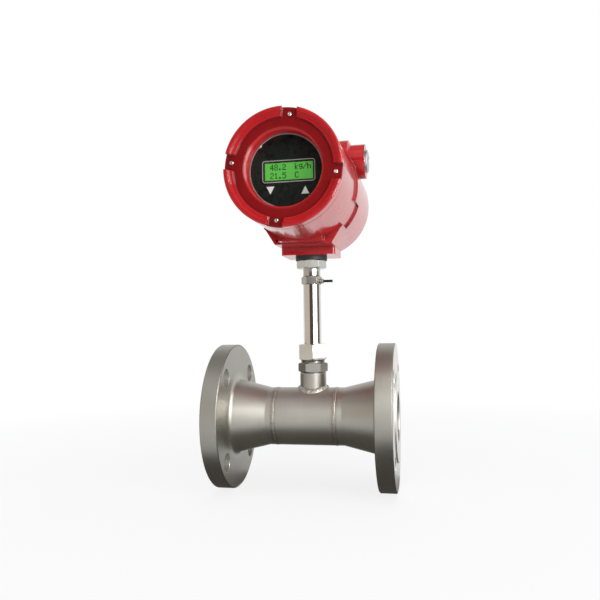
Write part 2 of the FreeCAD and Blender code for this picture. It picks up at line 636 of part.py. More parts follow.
def make_swivel():
    """Hexagon collar with its lock screw, the swivel adapter and the base gasket."""
    level = "stem_top - collar_height"
    lock_level = "stem_top - lock_drop"
    block = hexagon("CollarHex", "collar_hex", "collar_height", "fitting_turn", level)
    bore = at_stem(cylinder("CollarBore", "tube_od - 2 * tube_wall", "collar_height"), level)
    lock = at_stem(cylinder("CollarLockHole", "lock_rod + 2 * seat_gap", "collar_hex"), lock_level, ALONG_X)
    keep(cut("SwivelCollar", block, [bore, lock]), "swivel_collar")
    tip = "(tube_od / 2 - tube_wall + swivel_gap / 3)"
    shoulder = "collar_hex / sqrt(3) + swivel_gap - " + tip
    rod = "lock_rod / 2"
    boss = "lock_boss / 2"
    outside = shoulder + " + lock_rod / 2"
    end = "lock_reach - " + tip
    points = [("0", "0"), (rod, "0"), (rod, shoulder), (boss, shoulder)]
    points += [(boss, outside), (rod, outside), (rod, end), ("0", end)]
    screw = turned("LockScrew", points)
    keep(place(screw, "stem_offset + " + tip, "0", lock_level, ALONG_X), "lock_screw")
    running = "tube_od - 2 * tube_wall - 2 * swivel_gap"
    spigot = cylinder("AdapterSpigot", running, "spigot_depth + swivel_gap + hex_chamfer")
    at_stem(spigot, "stem_top - spigot_depth")
    neck = cylinder("AdapterNeck", "adapter_neck", "adapter_neck_height + hex_chamfer")
    at_stem(neck, ADAPTER_BASE)
    grip = hexagon("AdapterHex", "adapter_hex", "adapter_hex_height", "fitting_turn", ADAPTER_HEX_BASE)
    thread = cylinder("AdapterThread", "base_thread - 2 * thread_gap", "adapter_thread + hex_chamfer")
    at_stem(thread, GASKET_BASE + " - hex_chamfer")
    blank = fused("AdapterBlank", [spigot, neck, grip, thread])
    way = at_stem(cylinder("AdapterWay", "adapter_bore", "2 * stem_top"), "0")
    keep(cut("SwivelAdapter", blank, [way]), "swivel_adapter")
    keep(at_stem(ring("BaseGasket", "gasket_od", "base_thread", "gasket_height"), GASKET_BASE), "base_gasket")


def enclosure_solids():
    """The casting's outside: barrel, sleeve with its reliefs, pedestal, base and bosses."""
    length = "front_reach + rear_reach"
    outline = [("0", "0"), ("barrel_od / 2 + barrel_draft", "0"), ("barrel_od / 2", length), ("0", length)]
    barrel = in_head(turned("Barrel", outline), "0", "-rear_reach")
    sleeve = in_head(cylinder("Sleeve", "sleeve_od", "relief_front + rear_reach"), "0", "-rear_reach")
    solids = [barrel, sleeve]
    pad_length = "sleeve_front - relief_front"
    pads = (("LowerPad", "2 * relief_low", "-90 - relief_low"),
            ("UpperPad", "360 - 2 * relief_high", "-90 + relief_high"))
    for name, angle, start in pads:
        turn = FORWARD.multiply(FreeCAD.Rotation(FreeCAD.Vector(0, 0, 1), number(start)))
        pad = cylinder(name, "sleeve_od", pad_length, angle)
        solids.append(in_head(pad, "0", "relief_front", "0", turn))
    saddle_under = "-(head_rise - base_height + 1)"
    outline = [("-saddle_bottom / 2", saddle_under), ("saddle_bottom / 2", saddle_under)]
    outline += [("saddle_top / 2", "-saddle_top_drop"), ("-saddle_top / 2", "-saddle_top_drop")]
    saddle = plate("Saddle", outline, "sleeve_front + base_back")
    solids.append(in_head(saddle, "0", "-base_back"))
    shelf_under = "-(head_rise - base_height)"
    side = "shelf_width / 2"
    outline = [("-" + side, shelf_under), (side, shelf_under)]
    outline += [(side, "-saddle_top_drop"), ("-" + side, "-saddle_top_drop")]
    solids.append(in_head(plate("Shelf", outline, "shelf_front"), "0", "0"))
    side = "base_width / 2"
    outline = [("-" + side, "-base_front"), (side, "-base_front")]
    outline += [(side, "base_back"), ("-" + side, "base_back")]
    block = plate("BaseBlock", outline, "head_rise - saddle_top_drop")
    doc.recompute()
    rounded(block, upright_edges(block.Shape), "base_round")
    solids.append(in_head(block, "0", "0", "-head_rise", ALONG_Z))
    for name, rotation, hand in (("Right", ALONG_X, ""), ("Left", AGAINST_X, "-")):
        root = "boss_collar_od / 2"
        outer = "boss_od / 2"
        slope = "boss_collar_reach + boss_collar_slope"
        points = [("0", "0"), (root, "0"), (root, "boss_collar_reach"), (outer, slope), (outer, "boss_reach")]
        points += [("0", "boss_reach")]
        solids.append(in_head(turned(name + "Boss", points), "0", "boss_forward", "boss_rise", rotation))
    return solids


def make_enclosure():
    """The cast head: two chambers with a partition, conduit entries and the stem's thread."""
    blank = fused("EnclosureBlank", enclosure_solids())
    front = cylinder("FrontChamber", "front_bore", "front_reach - partition_front")
    rear = cylinder("RearChamber", "rear_bore", PARTITION_BACK + " + rear_reach")
    conduit = cylinder("ConduitBores", "conduit_bore", "2 * boss_reach")
    relief = cylinder("ConduitRelief", "conduit_relief", "2 * (boss_reach - conduit_length)")
    stem = cylinder("StemThread", "base_thread", "head_rise")
    feed = cylinder("FeedHole", "feed_od + 2 * seat_gap", "2 * partition")
    tab = cylinder("TabHole", "tab_hole", "tab_hole_depth")
    tools = [
        in_head(front, "0", "partition_front"),
        in_head(rear, "0", "-rear_reach"),
        in_head(conduit, "-boss_reach", "boss_forward", "boss_rise", ALONG_X),
        in_head(relief, "conduit_length - boss_reach", "boss_forward", "boss_rise", ALONG_X),
        in_head(stem, "0", "0", "-head_rise", ALONG_Z),
        in_head(feed, "0", PARTITION_BACK + " - partition / 2", "-feed_drop"),
        in_head(tab, "-tab_hole_side", "sleeve_front - tab_hole_depth", "-tab_hole_drop"),
    ]
    keep(cut("EnclosureBody", blank, tools), "enclosure_body")


def make_conduit_plug():
    """The screwed plug in the right-hand conduit entry, with a hexagon socket."""
    thread = "conduit_bore / 2 - thread_gap"
    head_base = "plug_thread + plug_neck_length"
    top = head_base + " + plug_head_height"
    points = [
        ("0", "0"), (thread, "0"), (thread, "plug_thread"), ("plug_neck / 2", "plug_thread"),
        ("plug_neck / 2", head_base), ("plug_head / 2", head_base),
        ("plug_head / 2", head_base + " + plug_head_height / 2"), ("plug_head / 2 - 2", top), ("0", top),
    ]
    blank = turned("PlugBlank", points)
    in_head(blank, "boss_reach - plug_thread", "boss_forward", "boss_rise", ALONG_X)
    corner = "plug_socket / sqrt(3)"
    socket = sized("Part::Prism", "PlugSocket", Circumradius=corner, Height="plug_socket_depth")
    socket.Polygon = 6
    floor = "boss_reach + plug_neck_length + plug_head_height - plug_socket_depth"
    in_head(socket, floor, "boss_forward", "boss_rise", ALONG_X)
    keep(cut("ConduitPlug", blank, [socket]), "conduit_plug")


def seal_ring(name, groove):
    """An O-ring over the floor radius of its groove."""
    middle = groove + " + ring_gap + ring_section / 2"
    return sized("Part::Torus", name, Radius1=middle, Radius2="ring_section / 2")


def make_front_cover():
    """Stepped window cover with four wrench notches, glass, gasket, retainer, screws and O-ring."""
    rim = "barrel_od / 2"
    spigot = "front_bore / 2 - cover_gap"
    pocket = "glass_od / 2 + glass_gap"
    back = "(front_reach + seam_gap)"
    groove = "(%s - ring_section - ring_gap)" % spigot
    groove_end = "%s - ring_section - 2 * ring_gap" % back
    points = [
        ("window_opening / 2", GLASS_SEAT),
        ("bore_mouth / 2 - bore_chamfer", RIM_FRONT + " - dial_drop - bore_chamfer"),
        ("bore_mouth / 2", RIM_FRONT + " - dial_drop"),
        ("dial_od / 2", RIM_FRONT + " - dial_drop"), ("dial_od / 2", RIM_FRONT + " - ledge_drop - 1"),
        ("ledge_od / 2", RIM_FRONT + " - ledge_drop"), ("rim_inner / 2", RIM_FRONT),
        (rim + " - cover_edge", RIM_FRONT), (rim, RIM_FRONT + " - cover_edge"), (rim, back),
        (groove, back), (groove, groove_end), (spigot, groove_end),
        (spigot, SPIGOT_END), (pocket, SPIGOT_END), (pocket, GLASS_SEAT),
    ]
    blank = in_head(turned("CoverBlank", points))
    floor = RIM_FRONT + " - dial_drop"

    def notch(index, angle):
        tool = box("Notch%d" % index, "barrel_od", "notch_width", "2 * dial_drop")
        turn = "notch_turn + %d" % angle
        side = "notch_width / 2"
        about_axis = FORWARD.multiply(FreeCAD.Rotation(FreeCAD.Vector(0, 0, 1), number(turn)))
        right = "(dial_od / 2 - 1) * cos(%s) + %s * sin(%s)" % (turn, side, turn)
        up = "(dial_od / 2 - 1) * sin(%s) - %s * cos(%s)" % (turn, side, turn)
        return in_head(tool, right, floor, up, about_axis)

    def screw_hole(index, angle):
        depth = "cover_screw_length + screw_gap"
        tool = cylinder("CoverScrewHole%d" % index, "cover_screw_shank + 2 * screw_gap", depth)
        turn = "notch_turn + %d" % angle
        return head_circle(tool, "cover_screw_circle", "%s - (%s)" % (floor, depth), turn)

    def screw(index, angle):
        shank = "cover_screw_shank / 2"
        head = "cover_screw_head / 2"
        top = "cover_screw_length + cover_screw_head_height"
        points = [("0", "0"), (shank, "0"), (shank, "cover_screw_length"), (head, "cover_screw_length")]
        points += [(head, top + " - cover_screw_head_height / 2"), (head + " * 0.6", top), ("0", top)]
        item = turned("CoverScrew%d" % index, points)
        turn = "notch_turn + %d" % angle
        return head_circle(item, "cover_screw_circle", floor + " - cover_screw_length", turn)

    tools = turned_copies(notch) + turned_copies(screw_hole)
    keep(cut("FrontCover", blank, tools), "front_cover")
    keep(grouped("CoverScrews", turned_copies(screw)), "cover_screws")
    gasket = ring("WindowGasket", "glass_od", "window_gasket_bore", "window_gasket_height")
    keep(in_head(gasket, "0", GLASS_SEAT + " - window_gasket_height"), "window_gasket")
    glass_back = "%s - window_gasket_height - glass_thickness" % GLASS_SEAT
    keep(in_head(cylinder("WindowGlass", "glass_od", "glass_thickness"), "0", glass_back), "window_glass")
    retainer = ring("WindowRetainer", "glass_od", "retainer_bore", "retainer_height")
    keep(in_head(retainer, "0", glass_back + " - retainer_height"), "window_retainer")
    keep(in_head(seal_ring("FrontSeal", groove), "0", back + " - ring_gap - ring_section / 2"), "front_oring")


def make_rear_cover():
    """Blind rear cover: a screwed cup with a chamfered end, two wrench notches and an O-ring."""
    rim = "rear_cover_od / 2"
    spigot = "rear_bore / 2 - cover_gap"
    back = "(rear_reach + seam_gap)"
    end = "(%s + rear_flange)" % back
    groove = "(%s - ring_section - ring_gap)" % spigot
    groove_end = "%s - ring_section - 2 * ring_gap" % back
    start = back + " - rear_spigot"
    points = [
        ("0", end + " - rear_wall"), ("rear_hollow / 2", end + " - rear_wall"), ("rear_hollow / 2", start),
        (spigot, start), (spigot, groove_end), (groove, groove_end), (groove, back),
        (rim + " - rear_lead", back), (rim, back + " + rear_lead"), (rim, end + " - rear_chamfer"),
        (rim + " - rear_chamfer", end), ("0", end),
    ]
    blank = in_head(turned("RearBlank", points), rotation=BACKWARD)

    def notch(index, angle):
        tool = box("RearNotch%d" % index, "rear_cover_od", "notch_width", "2 * rear_notch_depth")
        turn = "rear_notch_turn + %d" % angle
        side = "notch_width / 2"
        about_axis = BACKWARD.multiply(FreeCAD.Rotation(FreeCAD.Vector(0, 0, 1), number(turn)))
        reach = "(rear_cover_od / 2 - rear_notch_reach)"
        right = "%s * cos(%s) + %s * sin(%s)" % (reach, turn, side, turn)
        up = "-(%s * sin(%s) - %s * cos(%s))" % (reach, turn, side, turn)
        return in_head(tool, right, "-(%s - rear_notch_depth)" % end, up, about_axis)

    keep(cut("RearCover", blank, turned_copies(notch, HALF_TURNS)), "rear_cover")
    seal = seal_ring("RearSeal", groove)
    keep(in_head(seal, "0", "-(%s - ring_gap - ring_section / 2)" % back), "rear_oring")


def spacer_set(name, label, circle, back, length):
    """A group of four hexagon spacers between two levels of the head."""
    def spacer(index, angle):
        flats = "spacer_hex / sqrt(3)"
        item = sized("Part::Prism", "%s%d" % (name, index), Circumradius=flats, Height=length)
        item.Polygon = 6
        return head_circle(item, circle, back, "45 + %d" % angle)
    keep(grouped(name, turned_copies(spacer)), label)


def make_display():
    """Faceplate with its display window, the border, the display module and the screws."""
    disc = in_head(cylinder("PlateDisc", "faceplate_od", "faceplate_thickness"), "0", PLATE_BACK)
    hole_outline = rectangle("lcd_width + 2 * lcd_gap", "lcd_height + 2 * lcd_gap")
    hole = plate("PlateHole", hole_outline, "2 * faceplate_thickness")
    in_head(hole, "lcd_side", PLATE_BACK + " - faceplate_thickness / 2", "lcd_rise")
    keep(cut("Faceplate", disc, [hole]), "faceplate")
    inner_width = "lcd_width + 2 * border_space"
    inner_height = "lcd_height + 2 * border_space"
    outline = rectangle(inner_width + " + 2 * border_width", inner_height + " + 2 * border_width")
    outer = plate("BorderOuter", outline, "border_height")
    inner = plate("BorderInner", rectangle(inner_width, inner_height), "2 * border_height")
    doc.recompute()
    rounded(outer, upright_edges(outer.Shape), "border_round")
    rounded(inner, upright_edges(inner.Shape), "border_round - border_width")
    in_head(outer, "lcd_side", PLATE_FRONT, "lcd_rise")
    in_head(inner, "lcd_side", PLATE_FRONT + " - border_height / 2", "lcd_rise")
    keep(cut("DisplayBorder", outer, [inner]), "display_border")
    case_outline = rectangle("lcd_width + 2 * module_margin", "lcd_height + 2 * module_margin")
    case = plate("ModuleCase", case_outline, "module_depth")
    in_head(case, "lcd_side", DISPLAY_BOARD_FRONT, "lcd_rise")
    glass_depth = "module_depth + faceplate_thickness - lcd_sink"
    glass = plate("ModuleGlass", rectangle("lcd_width", "lcd_height"), glass_depth)
    in_head(glass, "lcd_side", DISPLAY_BOARD_FRONT, "lcd_rise")
    keep(fused("DisplayModule", [case, glass]), "display_module")

    def screw(index, angle):
        head = "plate_screw_head / 2"
        points = [("0", "0"), (head, "0"), (head, "plate_screw_height / 2")]
        points += [(head + " * 0.6", "plate_screw_height"), ("0", "plate_screw_height")]
        item = turned("PlateScrew%d" % index, points)
        return head_circle(item, "spacer_circle", PLATE_FRONT, "45 + %d" % angle)
    keep(grouped("PlateScrews", turned_copies(screw)), "faceplate_screws")


def make_boards():
    """Round boards on hexagon spacers in the front chamber, and the parts on the main board."""
    display = cylinder("DisplayBoard", "board_od", "board_thickness")
    keep(in_head(display, "0", DISPLAY_BOARD_BACK), "display_board")
    main = cylinder("MainBoard", "board_od", "board_thickness")
    keep(in_head(main, "0", MAIN_BOARD_BACK), "main_board")
    depth = MAIN_BOARD_BACK + " - partition_front"
    spacer_set("FrontSpacers", "front_spacers", "spacer_circle", DISPLAY_BOARD_FRONT, "module_depth")
    spacer_set("MidSpacers", "mid_spacers", "spacer_circle", MAIN_BOARD_FRONT, "main_board_depth")
    spacer_set("RearSpacers", "rear_spacers", "spacer_circle", "partition_front", depth)
    # Transformer, processor and relay: width, height, right and up as shares of the board, depth as
    # a share of the tallest part.
    chips = (
        ("Transformer", 0.28, 0.23, -0.14, 0.14, 1.0),
        ("Processor", 0.21, 0.21, 0.14, -0.16, 0.2),
        ("Relay", 0.19, 0.12, 0.19, 0.14, 0.8),
    )
    items = []
    for name, width, height, right, up, share in chips:
        outline = rectangle("board_od * %s" % width, "board_od * %s" % height)
        chip = plate(name, outline, "part_height * %s" % share)
        items.append(in_head(chip, "board_od * %s" % right, MAIN_BOARD_FRONT, "board_od * %s" % up))
    for index, right in enumerate((-0.23, -0.09)):
        can = cylinder("Capacitor%d" % index, "part_height * 0.75", "part_height")
        items.append(in_head(can, "board_od * %s" % right, MAIN_BOARD_FRONT, "board_od * -0.16"))
    keep(grouped("BoardParts", items), "board_parts")


def make_terminals():
    """Wiring chamber: terminal board on spacers, terminal blocks, feed-through, earth screw, tail."""
    board = cylinder("TerminalBoard", "terminal_board_od", "board_thickness")
    keep(in_head(board, "0", TERMINAL_BOARD_BACK), "terminal_board")
    back = TERMINAL_BOARD_FRONT
    spacer_set("TerminalSpacers", "terminal_spacers", "terminal_circle", back, "terminal_spacer")
    blocks = []
    step = "terminal_depth * 0.4"
    low = "-terminal_height / 2"
    high = "terminal_height / 2"
    profile = [(low, "0"), (high, "0"), (high, step)]
    profile += [("0", step), ("0", "terminal_depth"), (low, "terminal_depth")]
    turn = facing(FreeCAD.Vector(0, 0, -1), FreeCAD.Vector(0, 1, 0))
    for index, side in enumerate((-1, 1)):
        block = plate("TerminalBlock%d" % index, profile, "terminal_width")
        up = "%d * terminal_pitch / 2" % side
        blocks.append(in_head(block, "-terminal_width / 2", TERMINAL_BOARD_BACK, up, turn))
    keep(grouped("TerminalBlocks", blocks), "terminal_blocks")
    feed = cylinder("FeedThrough", "feed_od", "partition + 2 * seat_gap")
    keep(in_head(feed, "0", PARTITION_BACK + " - seat_gap", "-feed_drop"), "feedthrough")
    earth = sized("Part::Prism", "EarthScrew", Circumradius="earth_head / sqrt(3)", Height="earth_height")
    earth.Polygon = 6
    keep(head_circle(earth, "earth_circle", PARTITION_BACK + " - earth_height", "earth_turn"), "earth_screw")
    # The tail rises from the stem, bends forward and ends under the lower block's step.
    tail_level = "-(terminal_pitch + terminal_height / 2) / 2"
    bend_level = "(%s - tail_bend)" % tail_level
    tail_foot = "(swivel_gap - rear_bore / 2)"
    rise = cylinder("TailRise", "cable_od", "%s - %s" % (bend_level, tail_foot))
    in_head(rise, "0", "0", tail_foot, ALONG_Z)
    bend = sized("Part::Torus", "TailBend", Radius1="tail_bend", Radius2="cable_od / 2", Angle3="90")
    in_head(bend, "0", "tail_bend", bend_level, facing(FreeCAD.Vector(0, 1, 0), FreeCAD.Vector(0, 0, 1)))
    run = cylinder("TailRun", "cable_od", "%s - (%s) - tail_bend" % (TERMINAL_BOARD_BACK, step))
    in_head(run, "0", "tail_bend", tail_level)
    keep(fused("SensorTail", [rise, bend, run]), "sensor_tail")


make_flow_body()
make_branch()
make_fitting()
make_probe()
make_swivel()
make_enclosure()
make_conduit_plug()
make_front_cover()
make_rear_cover()
make_display()
make_boards()
make_terminals()
doc.recompute()

failed = [item.Name for item in doc.Objects if {"Invalid", "Error"} & set(item.State)]
failed += [item.Label for item in SUB_PARTS if item.Shape.isNull() or not item.Shape.isValid()]
if failed:
    raise RuntimeError("not built: " + ", ".join(failed))

os.makedirs("parts", exist_ok=True)
for item in SUB_PARTS:
    item.Shape.exportStep(os.path.join("parts", item.Label + ".step"))
    print(item.Label, len(item.Shape.Solids), round(item.Shape.Volume, 1))
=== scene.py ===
import json
import math
import re

import bmesh
import bpy
from mathutils import Matrix, Vector


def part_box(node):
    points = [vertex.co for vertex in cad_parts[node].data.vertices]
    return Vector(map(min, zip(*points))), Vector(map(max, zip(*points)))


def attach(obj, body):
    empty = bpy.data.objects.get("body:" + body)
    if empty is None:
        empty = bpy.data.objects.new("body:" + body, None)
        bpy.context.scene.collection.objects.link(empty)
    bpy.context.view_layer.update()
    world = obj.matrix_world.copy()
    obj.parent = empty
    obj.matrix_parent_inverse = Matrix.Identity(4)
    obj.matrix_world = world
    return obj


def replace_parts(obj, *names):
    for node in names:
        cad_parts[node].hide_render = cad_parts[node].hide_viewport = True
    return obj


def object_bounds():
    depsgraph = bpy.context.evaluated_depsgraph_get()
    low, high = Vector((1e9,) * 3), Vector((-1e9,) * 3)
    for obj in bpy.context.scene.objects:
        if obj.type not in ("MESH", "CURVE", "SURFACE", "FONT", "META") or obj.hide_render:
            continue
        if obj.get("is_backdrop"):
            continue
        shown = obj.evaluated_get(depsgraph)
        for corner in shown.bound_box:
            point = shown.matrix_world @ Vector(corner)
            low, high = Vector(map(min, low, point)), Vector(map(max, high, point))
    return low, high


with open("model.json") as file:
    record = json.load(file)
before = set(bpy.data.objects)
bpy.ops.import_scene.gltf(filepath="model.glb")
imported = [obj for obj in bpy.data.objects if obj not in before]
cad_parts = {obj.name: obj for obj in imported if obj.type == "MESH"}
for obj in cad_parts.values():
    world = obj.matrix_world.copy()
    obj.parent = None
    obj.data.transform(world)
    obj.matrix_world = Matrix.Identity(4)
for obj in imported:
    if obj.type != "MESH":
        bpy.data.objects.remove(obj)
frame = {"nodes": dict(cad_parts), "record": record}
cad_low, cad_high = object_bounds()
nodes = frame["nodes"]


# Places and sizes in metres, from the boxes of the nodes where those give them.

def middle_of(node):
    low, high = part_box(node)
    return (low + high) / 2


def half_of(node):
    low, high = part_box(node)
    return (high - low) / 2


def front_of(node):
    """Where a node ends towards -Y, the side that the photograph shows."""
    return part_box(node)[0].y


def back_of(node):
    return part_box(node)[1].y


STEM_X = middle_of("front_cover").x
HEAD_Z = middle_of("front_cover").z
STEM_CENTRE = (STEM_X, 0, 0)
HEAD_CENTRE = (STEM_X, 0, HEAD_Z)
FLOOR_Z = cad_low.z
BODY_LENGTH = cad_high.x - cad_low.x
PIPE_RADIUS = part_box("flow_pipe")[1].z
RIM_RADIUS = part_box("inlet_flange")[1].z
COUPLING_RADIUS = -front_of("branch_coupling")
WELD_X = (middle_of("inlet_weld").x, middle_of("outlet_weld").x)

# The display, and the sunk face of the cover round it.
PLATE_FRONT = front_of("faceplate")
LCD_FRONT = front_of("display_module")
LCD_CENTRE = middle_of("display_border").xz
BORDER_HALF = half_of("display_border").xz
BORDER_ROUND = 0.0026
BORDER_LINE = 0.00055
BORDER_RAGGED = 0.0001
SCREW_HEAD = 0.0015
DIAL_FLOOR = front_of("cover_screws") + SCREW_HEAD
# Painted shade on the sunk face: how near its level, how squarely it faces the front, and the share of
# colour kept.
DIAL_LEVEL = 0.0003
DIAL_SHADE_SHARE = 0.5
DIAL_NORMAL = -0.9

# How far the finishes round the look of sharp edges.
EDGE = 0.0005
FLANGE_EDGE = 0.0008
CAST_EDGE = 0.0010
COVER_EDGE = 0.0018
MOUTH_EDGE = 0.0040
MOUTH_RADIUS = 0.0375

# Zones of the finishes: the lock screw's shoulder, the heat beside the welds, bands on the flanges, two of
# which carry painted shade.
LOCK_SHOULDER_X = STEM_X + 0.0127
LOCK_FADE = 0.0004
LOCK_WORN = 0.0006
HEAT_REACH = 0.0030
HEAT_FADE = (0.5 * HEAT_REACH, 1.8 * HEAT_REACH)
HEAT_BROWN = (0.66, 0.56, 0.46, 1)
RAISED_FACE = 0.0017
HOLE_CIRCLE = (0.0505, 0.0715)
HOLE_NORMAL = 0.3
# Share of painted shade in the drilled holes.
HOLE_SHADE_LOSS = 0.12
PLATE_START = (0.0400, 0.0480)
PLATE_SHARE = 0.80
# The broken rim edge, and the share of painted shade that dims its highlight.
RIM_BREAK = (RIM_RADIUS - 0.0012, RIM_RADIUS - 0.0002)
RIM_SHADE_LOSS = 0.42

# How open a recess is where its painted shade starts and stops, as shares.
SHADE_OPENNESS = (0.25, 0.8)

# Sockets of a colour mix node, which share their names with those of its other kinds.
MIX_FIRST = 6
MIX_SECOND = 7
MIX_RESULT = 2


# Shader helpers

class Shader:
    """A node material with one Principled shader and a few ways to feed it."""

    def __init__(self, name, **constants):
        self.material = bpy.data.materials.new(name)
        self.material.use_nodes = True
        self.tree = self.material.node_tree
        self.tree.nodes.clear()
        self.output = self.add("ShaderNodeOutputMaterial")
        self.principled = self.add("ShaderNodeBsdfPrincipled")
        self.link(self.principled.outputs["BSDF"], self.output.inputs["Surface"])
        for key, value in constants.items():
            self.principled.inputs[key.replace("_", " ")].default_value = value

    def add(self, kind, **settings):
        node = self.tree.nodes.new(kind)
        for key, value in settings.items():
            setattr(node, key, value)
        return node

    def link(self, source, target):
        self.tree.links.new(source, target)

    def place(self):
        """Coordinates that stay on the piece, in metres."""
        return self.add("ShaderNodeTexCoord").outputs["Object"]

    def base(self):
        """The socket that feeds the base colour so far."""
        return self.principled.inputs["Base Color"].links[0].from_socket

    def math(self, operation, first, second=0.0):
        node = self.add("ShaderNodeMath", operation=operation)
        for socket, value in zip(node.inputs, (first, second)):
            if isinstance(value, (int, float)):
                socket.default_value = value
            else:
                self.link(value, socket)
        return node.outputs[0]

    def vector(self, operation, first, second=(0, 0, 0)):
        node = self.add("ShaderNodeVectorMath", operation=operation)
        self.link(first, node.inputs[0])
        if isinstance(second, tuple):
            node.inputs[1].default_value = second
        else:
            self.link(second, node.inputs[1])
        return node.outputs["Value" if operation == "LENGTH" else "Vector"]

    def split(self, vector):
        """The X, Y and Z of a vector socket."""
        node = self.add("ShaderNodeSeparateXYZ")
        self.link(vector, node.inputs[0])
        return node.outputs

    def spread(self, value, start, end, low, high):
        """A value that runs from start to end, carried onto low to high and held there beyond."""
        node = self.add("ShaderNodeMapRange")
        node.inputs["From Min"].default_value = start
        node.inputs["From Max"].default_value = end
        node.inputs["To Min"].default_value = low
        node.inputs["To Max"].default_value = high
        self.link(value, node.inputs["Value"])
        return node.outputs["Result"]

    def within(self, value, low, high):
        """1 where a value lies between two bounds, 0 elsewhere."""
        above = self.math("GREATER_THAN", value, low)
        return self.math("MULTIPLY", above, self.math("LESS_THAN", value, high))

    def noise(self, scale, detail, place=None, rough=0.5):
        node = self.add("ShaderNodeTexNoise")
        node.inputs["Scale"].default_value = scale
        node.inputs["Detail"].default_value = detail
        node.inputs["Roughness"].default_value = rough
        self.link(place or self.place(), node.inputs["Vector"])
        return node.outputs["Fac"]

    def lathe(self, axis, centre=(0, 0, 0)):
        """Coordinates of lathe marks: along the axis and away from it, the same all the way round."""
        away = self.split(self.vector("SUBTRACT", self.place(), centre))
        squares = [self.math("MULTIPLY", away[name], away[name]) for name in "XYZ" if name != axis]
        join = self.add("ShaderNodeCombineXYZ")
        self.link(away[axis], join.inputs["X"])
        self.link(self.math("SQRT", self.math("ADD", *squares)), join.inputs["Y"])
        return join.outputs[0]

    def handled(self, place, mark_share, blotch_share):
        """Lathe marks, and a blend of them with faint handling blotches."""
        marks = self.noise(scale=2600, detail=3, place=place, rough=0.7)
        blotch = self.noise(scale=30, detail=4)
        blend = self.math("ADD", self.math("MULTIPLY", marks, mark_share),
                          self.math("MULTIPLY", blotch, blotch_share))
        return marks, blend

    def colours(self, fac, low, high, start=0.3, end=0.7):
        node = self.add("ShaderNodeValToRGB")
        first, last = node.color_ramp.elements
        first.position, last.position = start, end
        first.color, last.color = (*low, 1), (*high, 1)
        self.link(fac, node.inputs["Fac"])
        self.link(node.outputs["Color"], self.principled.inputs["Base Color"])
        return node.color_ramp

    def roughness(self, fac, low, high):
        self.link(self.spread(fac, 0, 1, low, high), self.principled.inputs["Roughness"])

    def bump(self, fac, strength, distance):
        node = self.add("ShaderNodeBump")
        node.inputs["Strength"].default_value = strength
        node.inputs["Distance"].default_value = distance
        self.link(fac, node.inputs["Height"])
        previous = self.principled.inputs["Normal"].links
        if previous:
            self.link(previous[0].from_socket, node.inputs["Normal"])
        self.link(node.outputs["Normal"], self.principled.inputs["Normal"])

    def scale_colour(self, share):
        scaled = self.add("ShaderNodeVectorMath", operation="SCALE")
        self.link(self.base(), scaled.inputs["Vector"])
        self.link(share, scaled.inputs["Scale"])
        self.link(scaled.outputs["Vector"], self.principled.inputs["Base Color"])

    def darken(self, zone, loss):
        """Take a share of the colour away in a zone, which is 1 inside and 0 outside."""
        self.scale_colour(self.math("SUBTRACT", 1.0, self.math("MULTIPLY", zone, loss)))

    def paint_recess_shade(self, reach, least):
        """Paint shade into the colour where neighbouring faces close in."""
        recess = self.add("ShaderNodeAmbientOcclusion", samples=8)
        recess.inputs["Distance"].default_value = reach
        self.scale_colour(self.spread(recess.outputs["AO"], *SHADE_OPENNESS, least, 1))

    def heat_tint(self, places):
        """Brown the steel beside welds at these places along X."""
        along = self.split(self.place())["X"]
        near = None
        for place in places:
            away = self.math("ABSOLUTE", self.math("SUBTRACT", along, place))
            near = away if near is None else self.math("MINIMUM", near, away)
        uneven = self.math("MULTIPLY", self.noise(scale=130, detail=3), HEAT_REACH)
        tint = self.add("ShaderNodeMix", data_type="RGBA")
        tint.inputs[MIX_FIRST].default_value = (1, 1, 1, 1)
        tint.inputs[MIX_SECOND].default_value = HEAT_BROWN
        self.link(self.spread(self.math("ADD", near, uneven), *HEAT_FADE, 1, 0), tint.inputs[0])
        tinted = self.vector("MULTIPLY", self.base(), tint.outputs[MIX_RESULT])
        self.link(tinted, self.principled.inputs["Base Color"])

    def soften(self, radius, mouth=None):
        """Round the look of sharp edges a little, and more inside the mouth of the window bore."""
        node = self.add("ShaderNodeBevel", samples=4)
        node.inputs["Radius"].default_value = radius
        if mouth:
            away = self.split(self.lathe("Y", HEAD_CENTRE))["Y"]
            inside = self.math("LESS_THAN", away, MOUTH_RADIUS)
            more = self.math("MULTIPLY", inside, mouth - radius)
            self.link(self.math("ADD", more, radius), node.inputs["Radius"])
        self.link(node.outputs["Normal"], self.principled.inputs["Normal"])
        self.link(node.outputs["Normal"], self.principled.inputs["Coat Normal"])


# Finishes, each with a low and a high colour. A metal also has the axis of its lathe marks.

